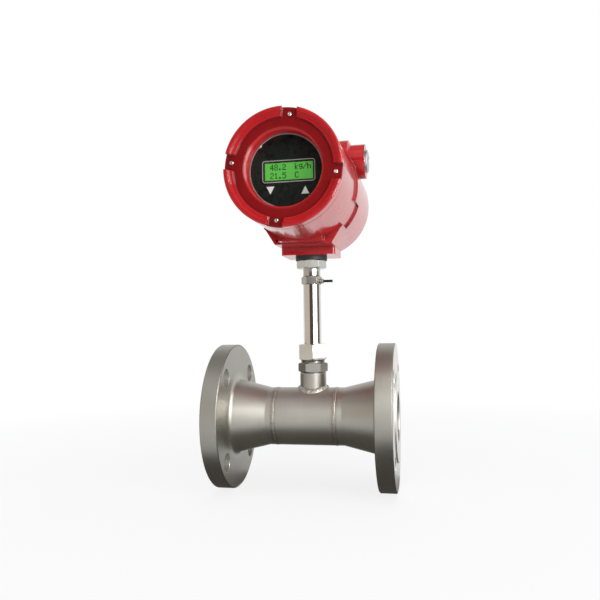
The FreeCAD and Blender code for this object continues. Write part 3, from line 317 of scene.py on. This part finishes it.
METALS = {
    "pipe_steel": ((0.37, 0.357, 0.322), (0.467, 0.45, 0.41), "X", {"rough": (0.40, 0.50), "welds": WELD_X}),
    "coupling_steel": ((0.353, 0.336, 0.307), (0.443, 0.426, 0.39), "Z", {}),
    "fitting_steel": ((0.286, 0.277, 0.252), (0.361, 0.353, 0.323), "Z", {"rough": (0.24, 0.36)}),
    "collar_steel": ((0.41, 0.40, 0.37), (0.51, 0.50, 0.465), "Z", {"rough": (0.24, 0.36)}),
    "adapter_steel": ((0.50, 0.49, 0.455), (0.62, 0.61, 0.57), "Z", {"rough": (0.16, 0.26)}),
    "nut_steel": ((0.60, 0.585, 0.54), (0.72, 0.70, 0.65), "Z", {"rough": (0.12, 0.22)}),
    "stem_steel": ((0.66, 0.64, 0.60), (0.76, 0.74, 0.70), "Z", {"rough": (0.05, 0.11), "mark": 0.02}),
    "sensor_steel": ((0.52, 0.52, 0.50), (0.64, 0.64, 0.62), "Z", {}),
    "retainer_metal": ((0.5, 0.5, 0.5), (0.62, 0.62, 0.62), "Y", {}),
    "plug_zinc": ((0.40, 0.41, 0.43), (0.54, 0.55, 0.57), "X", {"rough": (0.30, 0.45)}),
    "screw_steel": ((0.60, 0.57, 0.52), (0.74, 0.71, 0.66), "Y", {"rough": (0.2, 0.35)}),
    "spacer_brass": ((0.60, 0.44, 0.18), (0.72, 0.56, 0.26), "Y", {}),
}
MOULDINGS = {
    "gasket_rubber": ((0.012, 0.012, 0.012), (0.025, 0.025, 0.025), {"rough": (0.5, 0.7)}),
    "window_seal": ((0.26, 0.25, 0.24), (0.34, 0.33, 0.32), {"rough": (0.5, 0.7)}),
    "faceplate_black": ((0.006, 0.009, 0.008), (0.011, 0.015, 0.013),
                        {"rough": (0.22, 0.34), "Specular_IOR_Level": 0.2}),
    "board_green": ((0.012, 0.10, 0.04), (0.02, 0.16, 0.06), {"rough": (0.3, 0.45)}),
    "part_black": ((0.02, 0.02, 0.022), (0.035, 0.035, 0.04), {}),
    "terminal_plastic": ((0.03, 0.22, 0.09), (0.05, 0.29, 0.12), {}),
    "feed_resin": ((0.03, 0.03, 0.035), (0.05, 0.05, 0.055), {"rough": (0.2, 0.4)}),
    "cable_grey": ((0.24, 0.24, 0.25), (0.32, 0.32, 0.33), {}),
    "print_pale": ((0.88, 0.88, 0.86), (0.94, 0.94, 0.92), {}),
    "ink_dark": ((0.003, 0.010, 0.003), (0.005, 0.014, 0.005), {"Specular_IOR_Level": 0.1}),
}
PAINT_LOW = (0.45, 0.009, 0.012)
PAINT_HIGH = (0.52, 0.012, 0.016)
MACHINED = (0.70, 0.69, 0.65, 1)


def turned_metal(name, low, high, axis, rough=(0.28, 0.42), mark=0.05, welds=()):
    """Metal with lathe marks about an axis and faint handling blotches."""
    shader = Shader(name, Metallic=1.0)
    shader.soften(EDGE)
    turned = shader.lathe(axis, STEM_CENTRE if axis == "Z" else (0, 0, 0))
    marks, blend = shader.handled(turned, mark_share=0.45, blotch_share=0.55)
    shader.colours(blend, low, high)
    if welds:
        shader.heat_tint(welds)
    shader.roughness(blend, *rough)
    shader.bump(marks, strength=mark, distance=0.0003)
    return shader.material


def moulded(name, low, high, rough=(0.35, 0.55), **constants):
    """Plastic, rubber or resin with a fine moulded grain."""
    shader = Shader(name, **constants)
    shader.colours(shader.noise(scale=80, detail=3), low, high)
    shader.roughness(shader.noise(scale=200, detail=3), *rough)
    shader.bump(shader.noise(scale=900, detail=3), strength=0.08, distance=0.0004)
    return shader.material


def painted(name, edge, mouth=None):
    """Gloss powder coat over a casting: slow waviness, a trace of orange peel, and painted shade in its
    recesses.
    """
    shader = Shader(name, Coat_Weight=0.45, Coat_Roughness=0.05, Specular_IOR_Level=0.22)
    shader.soften(edge, mouth)
    shader.colours(shader.noise(scale=45, detail=2), PAINT_LOW, PAINT_HIGH)
    # Painted shade in the casting's recesses and corners.
    shader.paint_recess_shade(reach=0.011, least=0.22)
    shader.roughness(shader.noise(scale=300, detail=4), low=0.16, high=0.24)
    shader.bump(shader.noise(scale=60, detail=2), strength=0.04, distance=0.001)
    shader.bump(shader.noise(scale=900, detail=2), strength=0.02, distance=0.0002)
    return shader


def cover_paint():
    """The same paint, with painted shade on the sunk face of the front cover."""
    shader = painted("cover_paint", COVER_EDGE, MOUTH_EDGE)
    coordinates = shader.add("ShaderNodeTexCoord")
    away = shader.math("SUBTRACT", shader.split(coordinates.outputs["Object"])["Y"], DIAL_FLOOR)
    level = shader.math("LESS_THAN", shader.math("ABSOLUTE", away), DIAL_LEVEL)
    facing = shader.math("LESS_THAN", shader.split(coordinates.outputs["Normal"])["Y"], DIAL_NORMAL)
    # Painted shade on the sunk face.
    shader.darken(shader.math("MULTIPLY", level, facing), 1 - DIAL_SHADE_SHARE)
    return shader.material


def flange_steel():
    """Blasted forging, bright in its drilled holes and on its sealing face, with painted shade in the holes
    and on its broken rim edge, where it dims the highlight.
    """
    shader = Shader("flange_steel", Metallic=1.0)
    shader.soften(FLANGE_EDGE)
    turned = shader.lathe("X")
    marks, blend = shader.handled(turned, mark_share=0.35, blotch_share=0.5)
    along, radius = shader.split(turned)[:2]
    from_middle = shader.math("ABSOLUTE", shader.math("SUBTRACT", along, BODY_LENGTH / 2))
    faced = shader.math("GREATER_THAN", from_middle, BODY_LENGTH / 2 - RAISED_FACE)
    normal = shader.split(shader.add("ShaderNodeTexCoord").outputs["Normal"])
    upright = shader.math("LESS_THAN", shader.math("ABSOLUTE", normal["X"]), HOLE_NORMAL)
    drilled = shader.math("MULTIPLY", shader.within(radius, *HOLE_CIRCLE), upright)
    machined = shader.math("MAXIMUM", faced, drilled)
    ramp = shader.colours(shader.math("MAXIMUM", blend, machined), (0.40, 0.39, 0.35), (0.50, 0.485, 0.44))
    ramp.elements.new(1.0).color = MACHINED
    plate = shader.spread(radius, *PLATE_START, 1, PLATE_SHARE)
    shader.scale_colour(shader.math("MAXIMUM", plate, machined))
    # Painted shade in the drilled holes, and on the broken rim edge to dim its highlight.
    shader.darken(drilled, HOLE_SHADE_LOSS)
    shader.darken(shader.within(radius, *RIM_BREAK), RIM_SHADE_LOSS)
    shader.heat_tint(WELD_X)
    shader.roughness(blend, low=0.37, high=0.49)
    shader.bump(marks, strength=0.05, distance=0.0003)
    return shader.material


def weld_steel():
    """Lumpy weld metal, brushed bright."""
    shader = Shader("weld_steel", Metallic=1.0)
    lumps = shader.noise(scale=420, detail=2)
    shader.colours(lumps, (0.34, 0.325, 0.292), (0.45, 0.435, 0.395))
    shader.roughness(shader.noise(scale=300, detail=3), low=0.38, high=0.50)
    shader.bump(lumps, strength=0.5, distance=0.0012)
    return shader.material


def lock_steel():
    """A blackened rod with a bright shoulder at the collar."""
    shader = Shader("lock_steel", Metallic=0.6)
    worn = shader.math("MULTIPLY", shader.noise(scale=400, detail=3), LOCK_WORN)
    outward = shader.math("ADD", shader.split(shader.place())["X"], worn)
    blackened = shader.spread(outward, LOCK_SHOULDER_X, LOCK_SHOULDER_X + LOCK_FADE, 0, 1)
    shader.colours(blackened, (0.62, 0.57, 0.54), (0.020, 0.017, 0.017), start=0, end=1)
    shader.roughness(shader.noise(scale=300, detail=3), low=0.3, high=0.5)
    return shader.material


def display_border():
    """A thin pale line round the display, dark inside it."""
    shader = Shader("border_grey")
    from_centre = shader.vector("SUBTRACT", shader.place(), (LCD_CENTRE.x, 0, LCD_CENTRE.y))
    corner = (BORDER_HALF.x - BORDER_ROUND, 1, BORDER_HALF.y - BORDER_ROUND)
    beyond = shader.vector("SUBTRACT", shader.vector("ABSOLUTE", from_centre), corner)
    reach = shader.vector("LENGTH", shader.vector("MAXIMUM", beyond))
    ragged = shader.math("MULTIPLY", shader.noise(scale=900, detail=2), BORDER_RAGGED)
    edge = shader.math("GREATER_THAN", shader.math("ADD", reach, ragged), BORDER_ROUND - BORDER_LINE)
    shader.colours(edge, (0.010, 0.013, 0.012), (0.60, 0.52, 0.50), start=0, end=1)
    shader.roughness(shader.noise(scale=200, detail=3), low=0.35, high=0.5)
    return shader.material


def display_green():
    """Backlit display: a lit green field with a faint cell pattern."""
    shader = Shader("display_green", Roughness=0.3, Emission_Strength=0.45)
    shader.colours(shader.noise(scale=70, detail=2), (0.074, 0.37, 0.046), (0.088, 0.41, 0.056))
    shader.link(shader.base(), shader.principled.inputs["Emission Color"])
    shader.bump(shader.noise(scale=2500, detail=1), strength=0.03, distance=0.0002)
    return shader.material


def clear_glass():
    """Toughened window glass with very faint unevenness."""
    shader = Shader("window_glass", Transmission_Weight=1.0, IOR=1.45)
    shader.colours(shader.noise(scale=20, detail=2), (0.97, 0.985, 0.98), (0.99, 0.995, 0.99))
    shader.roughness(shader.noise(scale=60, detail=2), low=0.0, high=0.02)
    return shader.material


FINISH = {
    "body_paint": painted("body_paint", CAST_EDGE).material,
    "cover_paint": cover_paint(),
    "flange_steel": flange_steel(),
    "weld_steel": weld_steel(),
    "lock_steel": lock_steel(),
    "border_grey": display_border(),
    "display_green": display_green(),
    "window_glass": clear_glass(),
}
for name, (low, high, axis, settings) in METALS.items():
    FINISH[name] = turned_metal(name, low, high, axis, **settings)
for name, (low, high, settings) in MOULDINGS.items():
    FINISH[name] = moulded(name, low, high, **settings)

# Nodes whose finish differs from that of the other nodes in their slot.
OWN_FINISH = {
    "branch_coupling": "coupling_steel",
    "swivel_adapter": "adapter_steel",
    "swivel_collar": "collar_steel",
}
node_slots = {part["node"]: part["material_slot"] for part in frame["record"]["subparts"]}
for name, item in nodes.items():
    finish = FINISH[OWN_FINISH.get(name, node_slots[name])]
    item.data.materials.clear()
    item.data.materials.append(finish)

# Light that falls through the window lights the display.
nodes["window_glass"].visible_shadow = False


# Mesh pieces

def mesh_piece(name, vertices, faces, body, finish, smooth=False):
    mesh = bpy.data.meshes.new(name)
    mesh.from_pydata(vertices, [], faces)
    mesh.validate()
    shape = bmesh.new()
    shape.from_mesh(mesh)
    bmesh.ops.recalc_face_normals(shape, faces=shape.faces)
    shape.to_mesh(mesh)
    shape.free()
    for face in mesh.polygons:
        face.use_smooth = smooth
    item = bpy.data.objects.new(name, mesh)
    bpy.context.scene.collection.objects.link(item)
    item.data.materials.append(FINISH[finish])
    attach(item, body)
    return item


def about_stem(radius, turn, along):
    return (STEM_X + radius * math.cos(turn), radius * math.sin(turn), along)


def about_head(radius, turn, along):
    return (STEM_X + radius * math.cos(turn), along, HEAD_Z + radius * math.sin(turn))


def ring_faces(rings, size, closed=False, start=0):
    """Faces between rings of points, each to the next one and, where closed, from the last to the first."""
    faces = []
    for ring in range(rings if closed else rings - 1):
        here = start + ring * size
        ahead = start + (ring + 1) % rings * size
        for index in range(size):
            following = (index + 1) % size
            faces.append((here + index, here + following, ahead + following, ahead + index))
    return faces


def raised(outlines, back, front):
    """Vertices and faces of flat outlines (x, z) thickened along Y."""
    vertices = []
    faces = []
    for outline in outlines:
        start = len(vertices)
        count = len(outline)
        vertices += [(x, back, z) for x, z in outline]
        vertices += [(x, front, z) for x, z in outline]
        faces.append(tuple(range(start, start + count)))
        faces.append(tuple(range(start + count, start + 2 * count)))
        faces += ring_faces(2, count, start=start)
    return vertices, faces


# Dot patterns of the display's characters, five dots wide and seven high.
GLYPHS = {
    "1": ("00100", "01100", "00100", "00100", "00100", "00100", "01110"),
    "2": ("01110", "10001", "00001", "00110", "01000", "10000", "11111"),
    "4": ("00010", "00110", "01010", "10010", "11111", "00010", "00010"),
    "5": ("11111", "10000", "11110", "00001", "00001", "10001", "01110"),
    "8": ("01110", "10001", "10001", "01110", "10001", "10001", "01110"),
    ".": ("00000", "00000", "00000", "00000", "00000", "01100", "01100"),
    "k": ("10000", "10000", "10010", "10100", "11000", "10100", "10010"),
    "g": ("00000", "01111", "10001", "10001", "01111", "00001", "01110"),
    "/": ("00001", "00001", "00010", "00100", "01000", "10000", "10000"),
    "h": ("10000", "10000", "10110", "11001", "10001", "10001", "10001"),
    "C": ("01110", "10001", "10000", "10000", "10000", "10001", "01110"),
}
LCD_LINES = (" 48.2  kg/h", " 21.5  C")
DOT_WIDE = 0.00064
DOT_HIGH = 0.00078
CHARACTER_PITCH = 6 * DOT_WIDE
LINE_TOPS = (0.0066, -0.0011)
LCD_LEFT = -0.0212
STROKE_SPREAD = 0.0002
INK_HEIGHT = 0.00005

# The arrow marks: place from the head's centre, and which way each one points.
ARROWS = ((-0.0169, -0.0152, -1), (0.0155, -0.0161, 1))
ARROW_HALF = 0.0037
ARROW_HEIGHT = 0.0072
PRINT_HEIGHT = 0.0001


def display_dots():
    """The two display lines, each row of a character's dots joined into dark bars."""
    outlines = []
    for text, top in zip(LCD_LINES, LINE_TOPS):
        for column, character in enumerate(text):
            for row, dots in enumerate(GLYPHS.get(character, ())):
                high = LCD_CENTRE.y + top - row * DOT_HIGH
                low = high - DOT_HIGH
                for bar in re.finditer("1+", dots):
                    left = LCD_CENTRE.x + LCD_LEFT + column * CHARACTER_PITCH + bar.start() * DOT_WIDE
                    right = left + len(bar.group()) * DOT_WIDE + STROKE_SPREAD
                    outlines.append([(left, low), (right, low), (right, high), (left, high)])
    vertices, faces = raised(outlines, LCD_FRONT, LCD_FRONT - INK_HEIGHT)
    return mesh_piece("display_characters", vertices, faces, "head", "ink_dark")


def key_marks():
    """The two plain arrow marks under the display: down on the left, up on the right."""
    outlines = []
    for x, z, way in ARROWS:
        centre_x = STEM_X + x
        centre_z = HEAD_Z + z
        flat = centre_z - way * ARROW_HEIGHT / 2
        point = centre_z + way * ARROW_HEIGHT / 2
        outlines.append([(centre_x - ARROW_HALF, flat), (centre_x + ARROW_HALF, flat), (centre_x, point)])
    vertices, faces = raised(outlines, PLATE_FRONT, PLATE_FRONT - PRINT_HEIGHT)
    return mesh_piece("key_marks", vertices, faces, "head", "print_pale")


# Butt welds, the fillet weld under the branch, and the ripples that all share. A bead's calm share of its
# height is there all along, and its rippled share comes and goes.
WELD_WIDTH = 0.0028
WELD_HEIGHT = 0.00040
WELD_DRIFT = 0.0004
WELD_SINK = 0.00005
WELD_ROOT = 0.0004
WELD_UNEVEN = 0.12
WELD_CALM = 0.45
WELD_RIPPLED = 0.55
WELD_ROWS = 8
WELD_LEG = 0.0029
LEG_UNEVEN = 0.16
LEG_SEED = 1.3
LEG_SWELL = 0.0004
LEG_CALM = 0.2
LEG_RIPPLED = 0.9
LEG_SINK = 0.0005
LEG_INSET = 0.0003
LEG_ROWS = 10
RIPPLE = 0.0030
RIPPLE_STEPS = 8
RIPPLE_LAG = 0.55
RIPPLE_FALL = 0.7

# The waves of a weld's unevenness: share, waves in a turn, shift for each unit of the seed.
WAVES = ((1.0, 3, 1.0), (0.7, 7, 2.1), (0.5, 13, 0.0))


def wander(turn, seed):
    """A slow unevenness between -1 and 1 that closes after one turn."""
    total = sum(share * math.sin(rate * turn + shift * seed) for share, rate, shift in WAVES)
    return total / sum(share for share, rate, shift in WAVES)


def ripple(turn, across, count):
    """Crescents laid down along a weld bead, from 0 to 1."""
    phase = (turn * count / (2 * math.pi) + RIPPLE_LAG * across * across) % 1
    return (1 - phase) ** RIPPLE_FALL * min(1, phase * RIPPLE_STEPS)


def swept_loop(section, steps):
    """Vertices and faces of a closed section carried round a closed path."""
    vertices = []
    for step in range(steps):
        vertices += section(2 * math.pi * step / steps)
    return vertices, ring_faces(steps, len(vertices) // steps, closed=True)


def girth_bead(name, middle, seed):
    """A rippled butt weld round the pipe."""
    count = round(2 * math.pi * PIPE_RADIUS / RIPPLE)

    def section(turn):
        width = WELD_WIDTH * (1 + WELD_UNEVEN * wander(turn, seed))
        shift = WELD_DRIFT * wander(turn, seed + 2)
        points = []
        for row in range(WELD_ROWS + 1):
            across = 2 * row / WELD_ROWS - 1
            crown = WELD_HEIGHT * (1 - across * across) ** 0.5
            height = crown * (WELD_CALM + WELD_RIPPLED * ripple(turn, across, count))
            radius = PIPE_RADIUS + height - WELD_SINK
            x = middle + shift + across * width / 2
            points.append((x, radius * math.sin(turn), radius * math.cos(turn)))
        root = PIPE_RADIUS - WELD_ROOT
        for side in (1, -1):
            points.append((middle + side * width / 2, root * math.sin(turn), root * math.cos(turn)))
        return points

    vertices, faces = swept_loop(section, count * RIPPLE_STEPS)
    return mesh_piece(name, vertices, faces, "flow_body", "weld_steel", True)


def branch_bead():
    """A rippled fillet weld where the half coupling sits on the pipe."""
    count = round(2 * math.pi * (COUPLING_RADIUS + WELD_LEG / 2) / RIPPLE)

    def on_pipe(radius, turn):
        return math.sqrt(PIPE_RADIUS ** 2 - (radius * math.sin(turn)) ** 2)

    def section(turn):
        leg = WELD_LEG * (1 + LEG_UNEVEN * wander(turn, LEG_SEED))
        foot = COUPLING_RADIUS + leg
        top = on_pipe(COUPLING_RADIUS, turn) + leg
        bottom = on_pipe(foot, turn)
        profile = []
        for row in range(LEG_ROWS + 1):
            share = row / LEG_ROWS
            across = 2 * share - 1
            crown = LEG_SWELL * (1 - across * across)
            swell = crown * (LEG_CALM + LEG_RIPPLED * ripple(turn, across, count))
            profile.append((COUPLING_RADIUS + share * leg + swell, top + share * (bottom - top) + swell))
        inside = COUPLING_RADIUS - LEG_INSET
        profile += [(foot, bottom - LEG_SINK), (inside, bottom - LEG_SINK), (inside, top)]
        return [about_stem(radius, turn, z) for radius, z in profile]

    vertices, faces = swept_loop(section, count * RIPPLE_STEPS)
    return mesh_piece("branch_bead", vertices, faces, "flow_body", "weld_steel", True)


# Section of a thread ridge: share of its height, share of its pitch.
RIDGE = ((0.0, -0.45), (1.0, -0.08), (1.0, 0.08), (0.0, 0.45), (-0.3, 0.0))
RIDGE_STEPS = 96
RUN_OUT = RIDGE_STEPS / 6
COVER_PITCH = 0.002117
COVER_RIDGE = 0.00024
FRONT_THREAD = 0.0120
REAR_THREAD = 0.0113


def thread_ridge(name, place, body, finish, radius, start, end, pitch, height):
    """A helical thread ridge: place turns (radius, turn, along) into a point."""
    steps = int((end - start - pitch) / pitch * RIDGE_STEPS)
    vertices = []
    for step in range(steps + 1):
        turn = 2 * math.pi * step / RIDGE_STEPS
        fade = min(1, step / RUN_OUT, (steps - step) / RUN_OUT)
        middle = start + pitch / 2 + pitch * step / RIDGE_STEPS
        for rise, offset in RIDGE:
            vertices.append(place(radius + height * rise * fade, turn, middle + offset * pitch))
    size = len(RIDGE)
    faces = [tuple(range(size)), tuple(steps * size + index for index in range(size))]
    faces += ring_faces(steps + 1, size)
    return mesh_piece(name, vertices, faces, body, finish, True)


# Cover screws: radii of the shank and head, the socket's half width and depth, and the dome of the head
# as shares of its radius and of its height back from the front.
COVER_TURN = math.radians(-8.1)
SCREW_CIRCLE = 0.0472
SHANK_RADIUS = 0.0011
HEAD_RADIUS = 0.0019
SOCKET_HALF = 0.00075
SOCKET_DEPTH = 0.0008
DOME = ((1.0, 0.55), (0.92, 0.22), (0.74, 0.0))
SCREW_SIDES = 30


def socket_screws(name, centres, back, head_back, front):
    """Small domed screws with a hexagon socket, their heads towards -Y."""
    rings = [(SHANK_RADIUS, back), (SHANK_RADIUS, head_back), (HEAD_RADIUS, head_back)]
    rings += [(wide * HEAD_RADIUS, front + deep * (head_back - front)) for wide, deep in DOME]
    turns = [2 * math.pi * step / SCREW_SIDES for step in range(SCREW_SIDES)]
    outlines = [([radius] * SCREW_SIDES, y) for radius, y in rings]
    sixth = math.pi / 3
    socket = [SOCKET_HALF / math.cos((turn + sixth / 2) % sixth - sixth / 2) for turn in turns]
    outlines += [(socket, front), (socket, front + SOCKET_DEPTH)]
    vertices = []
    faces = []
    for x, z in centres:
        start = len(vertices)
        for reaches, y in outlines:
            for reach, turn in zip(reaches, turns):
                vertices.append((x + reach * math.cos(turn), y, z + reach * math.sin(turn)))
        faces += ring_faces(len(outlines), SCREW_SIDES, start=start)
        faces.append(tuple(range(start, start + SCREW_SIDES)))
        faces.append(tuple(range(len(vertices) - SCREW_SIDES, len(vertices))))
    return mesh_piece(name, vertices, faces, "front_cover", "screw_steel")


display_dots()
key_marks()
for node, middle, seed in (("inlet_weld", WELD_X[0], 0.4), ("outlet_weld", WELD_X[1], 2.9)):
    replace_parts(girth_bead(node + "_bead", middle, seed), node)
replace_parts(branch_bead(), "branch_weld")
thread_ridge("neck_thread", about_stem, "flow_body", "fitting_steel",
             radius=0.0123, start=0.0563, end=0.0600, pitch=0.00127, height=0.00025)
front_end = back_of("front_cover")
thread_ridge("front_thread", about_head, "front_cover", "cover_paint", radius=0.0488,
             start=front_end - FRONT_THREAD, end=front_end, pitch=COVER_PITCH, height=COVER_RIDGE)
rear_end = front_of("rear_cover")
thread_ridge("rear_thread", about_head, "rear_cover", "cover_paint", radius=0.0456,
             start=rear_end, end=rear_end + REAR_THREAD, pitch=COVER_PITCH, height=COVER_RIDGE)
quarter_turns = [COVER_TURN + step * math.pi / 2 for step in range(4)]
screw_centres = [(STEM_X + SCREW_CIRCLE * math.cos(turn), HEAD_Z + SCREW_CIRCLE * math.sin(turn))
                 for turn in quarter_turns]
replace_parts(socket_screws("cover_socket_screws", screw_centres, back_of("cover_screws"), DIAL_FLOOR,
                          front_of("cover_screws")), "cover_screws")


# Stage: floor, white surroundings, soft boxes, cards that only show in reflections, camera

def seen_or_mirrored(tree):
    """A socket that is 1 for rays from the camera, off gloss and through glass."""
    path = tree.nodes.new("ShaderNodeLightPath")
    total = path.outputs["Is Camera Ray"]
    for name in ("Is Glossy Ray", "Is Transmission Ray"):
        larger = tree.nodes.new("ShaderNodeMath")
        larger.operation = "MAXIMUM"
        tree.links.new(total, larger.inputs[0])
        tree.links.new(path.outputs[name], larger.inputs[1])
        total = larger.outputs[0]
    return total


def make_world():
    world = bpy.data.worlds.new("studio")
    bpy.context.scene.world = world
    world.use_nodes = True
    tree = world.node_tree
    tree.nodes.clear()
    light = tree.nodes.new("ShaderNodeBackground")
    light.inputs["Color"].default_value = (0.95, 0.97, 1.0, 1)
    light.inputs["Strength"].default_value = 0.45
    white = tree.nodes.new("ShaderNodeBackground")
    white.inputs["Color"].default_value = (1, 1, 1, 1)
    white.inputs["Strength"].default_value = 1.0
    mix = tree.nodes.new("ShaderNodeMixShader")
    output = tree.nodes.new("ShaderNodeOutputWorld")
    tree.links.new(seen_or_mirrored(tree), mix.inputs["Fac"])
    tree.links.new(light.outputs[0], mix.inputs[1])
    tree.links.new(white.outputs[0], mix.inputs[2])
    tree.links.new(mix.outputs[0], output.inputs["Surface"])


def flat_panel(name, centre, size, towards, material):
    """A rectangle that faces a point."""
    width, height = (value / 2 for value in size)
    mesh = bpy.data.meshes.new(name)
    corners = [(-width, -height, 0), (width, -height, 0), (width, height, 0), (-width, height, 0)]
    mesh.from_pydata(corners, [], [(0, 1, 2, 3)])
    item = bpy.data.objects.new(name, mesh)
    bpy.context.scene.collection.objects.link(item)
    item.data.materials.append(material)
    item.location = centre
    item.rotation_euler = (Vector(towards) - Vector(centre)).to_track_quat("Z", "Y").to_euler()
    item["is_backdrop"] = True
    return item


# Where the floor fades to white, as distance from the object, and how white it is near the object
# for rays that see it straight and for rays off gloss.
FLOOR_FADE = (0.25, 0.9)
FLOOR_STRAIGHT = 0.82
FLOOR_MIRRORED = 0.60


def floor_material():
    """Pale floor that fades to white away from the object, keeps its shadow and is clear from below."""
    shader = Shader("floor")
    shader.tree.nodes.remove(shader.principled)
    pale = shader.add("ShaderNodeBsdfDiffuse")
    pale.inputs["Color"].default_value = (0.86, 0.86, 0.86, 1)
    white = shader.add("ShaderNodeEmission")
    distance = shader.vector("LENGTH", shader.place())
    path = shader.add("ShaderNodeLightPath")
    straight = shader.math("MAXIMUM", path.outputs["Is Camera Ray"], path.outputs["Is Transmission Ray"])
    shares = []
    for ray, near in ((straight, FLOOR_STRAIGHT), (path.outputs["Is Glossy Ray"], FLOOR_MIRRORED)):
        shares.append(shader.math("MULTIPLY", ray, shader.spread(distance, *FLOOR_FADE, near, 1)))
    mix = shader.add("ShaderNodeMixShader")
    shader.link(shader.math("ADD", *shares), mix.inputs["Fac"])
    shader.link(pale.outputs[0], mix.inputs[1])
    shader.link(white.outputs[0], mix.inputs[2])
    under = shader.add("ShaderNodeMixShader")
    shader.link(shader.add("ShaderNodeNewGeometry").outputs["Backfacing"], under.inputs["Fac"])
    shader.link(mix.outputs[0], under.inputs[1])
    shader.link(shader.add("ShaderNodeBsdfTransparent").outputs[0], under.inputs[2])
    shader.link(under.outputs[0], shader.output.inputs["Surface"])
    return shader.material


def card(name, centre, size, towards, colour):
    """A dark or bright panel that only shows in reflections and through the window."""
    material = bpy.data.materials.new(name)
    material.use_nodes = True
    tree = material.node_tree
    tree.nodes.clear()
    glow = tree.nodes.new("ShaderNodeEmission")
    glow.inputs["Color"].default_value = (*colour, 1)
    output = tree.nodes.new("ShaderNodeOutputMaterial")
    tree.links.new(glow.outputs[0], output.inputs["Surface"])
    item = flat_panel(name, centre, size, towards, material)
    item.visible_camera = False
    item.visible_diffuse = False
    item.visible_shadow = False


def soft_box(name, centre, size, towards, power):
    light = bpy.data.lights.new(name, "AREA")
    light.shape = "RECTANGLE"
    light.size, light.size_y = size
    light.energy = power
    item = bpy.data.objects.new(name, light)
    bpy.context.scene.collection.objects.link(item)
    item.location = centre
    item.rotation_euler = (Vector(towards) - Vector(centre)).to_track_quat("-Z", "Y").to_euler()
    return item


# The camera that was fitted to the photograph, its turns in radians.
CAMERA_PLACE = (0.22570, -0.67640, 0.09067)
CAMERA_YAW = -0.2002
CAMERA_PITCH = 0.0472
CAMERA_ROLL = -0.0145
SENSOR_WIDTH = 36.0
FOCAL_PIXELS = 644.19
PHOTO_PIXELS = 600


def make_camera():
    """The photograph's viewpoint: low, a little to the right, looking slightly up."""
    ahead = Vector((math.sin(CAMERA_YAW) * math.cos(CAMERA_PITCH),
                    math.cos(CAMERA_YAW) * math.cos(CAMERA_PITCH), math.sin(CAMERA_PITCH)))
    level = Vector((math.cos(CAMERA_YAW), -math.sin(CAMERA_YAW), 0))
    upright = level.cross(ahead)
    right = math.cos(CAMERA_ROLL) * level + math.sin(CAMERA_ROLL) * upright
    up = -math.sin(CAMERA_ROLL) * level + math.cos(CAMERA_ROLL) * upright
    data = bpy.data.cameras.new("photo_view")
    data.sensor_width = SENSOR_WIDTH
    data.lens = SENSOR_WIDTH * FOCAL_PIXELS / PHOTO_PIXELS
    data.clip_start, data.clip_end = 0.01, 100
    camera = bpy.data.objects.new("photo_view", data)
    turned = Matrix((right, up, -ahead)).transposed().to_4x4()
    camera.matrix_world = Matrix.Translation(Vector(CAMERA_PLACE)) @ turned
    bpy.context.scene.collection.objects.link(camera)
    bpy.context.scene.camera = camera


def around(bearing, reach, height):
    """A place round the stem: bearing in degrees from the front towards the outlet."""
    angle = math.radians(bearing)
    return (STEM_X + reach * math.sin(angle), -reach * math.cos(angle), height)


# The point that most lamps and cards face, and where those that stand close to the stem and the floor are.
MIDDLE = (0.1, 0, 0.12)
STEM_FLAG_X = 0.1028
STEM_FLAG_Z = 0.114
NUT_BOX_Z = 0.0680
LOW_FLAG_Z = -0.074

# Lamps that don't show in gloss: name, place, size, power.
HIDDEN_BOXES = (
    ("fill_box", around(-62, 1.6, 0.45), (1.2, 1.4), 4),
    ("top_box", (0.1, -0.3, 1.7), (1.2, 1.2), 9),
)

# Cards: name, place, size, the point that each one faces, colour.
CARDS = (
    ("hub_card", around(14, 1.2, 0.62), (0.42, 0.5), MIDDLE, (2.6, 2.6, 2.55)),
    ("stem_flag", (STEM_FLAG_X, -0.06, STEM_FLAG_Z), (0.046, 0.088), (STEM_FLAG_X, 0, STEM_FLAG_Z),
     (0.105, 0.076, 0.066)),
    ("dial_flag", (0.076, -0.25, 0.263), (0.15, 0.15), (0.1016, -0.137, 0.234), (0.060, 0.052, 0.050)),
    ("right_flag", around(88, 0.05, STEM_FLAG_Z), (0.035, 0.088), (STEM_X, 0, STEM_FLAG_Z),
     (0.20, 0.175, 0.14)),
    ("left_card", around(-65, 1.9, 0.5), (4.1, 1.8), MIDDLE, (0.66, 0.60, 0.53)),
    ("ceiling_flag", (0.1, 0.3, 1.9), (2.6, 2.0), MIDDLE, (0.35, 0.34, 0.33)),
    ("floor_flag", (0.1, -0.0225, LOW_FLAG_Z), (0.4, 0.165), (0.1, -0.0225, 1), (0.12, 0.11, 0.10)),
    ("outlet_flag", (0.22, -0.151, LOW_FLAG_Z), (0.17, 0.098), (0.22, -0.151, 1), (0.10, 0.09, 0.08)),
    ("bezel_card", (0.303, -0.207, 0.25), (0.08, 0.255), (0.065, -0.13, 0.25), (17.0, 16.6, 16.1)),
)

make_world()
flat_panel("floor", (0.1, 0, FLOOR_Z), size=(60, 60), towards=(0.1, 0, 10), material=floor_material())
soft_box("key_box", around(51, 1.5, 0.40), size=(1.65, 1.2), towards=MIDDLE, power=18)
for name, place, size, power in HIDDEN_BOXES:
    soft_box(name, place, size, MIDDLE, power).visible_glossy = False
nut_box = soft_box("nut_box", around(70, 0.045, NUT_BOX_Z), size=(0.036, 0.016),
                   towards=(STEM_X, 0, NUT_BOX_Z), power=0.003)
nut_box.visible_camera = False
nut_box.visible_diffuse = False
for settings in CARDS:
    card(*settings)
make_camera()

scene = bpy.context.scene
scene.view_settings.view_transform = "Standard"

low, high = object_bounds()
{"cad": [list(cad_low), list(cad_high)], "visual": [list(low), list(high)]}
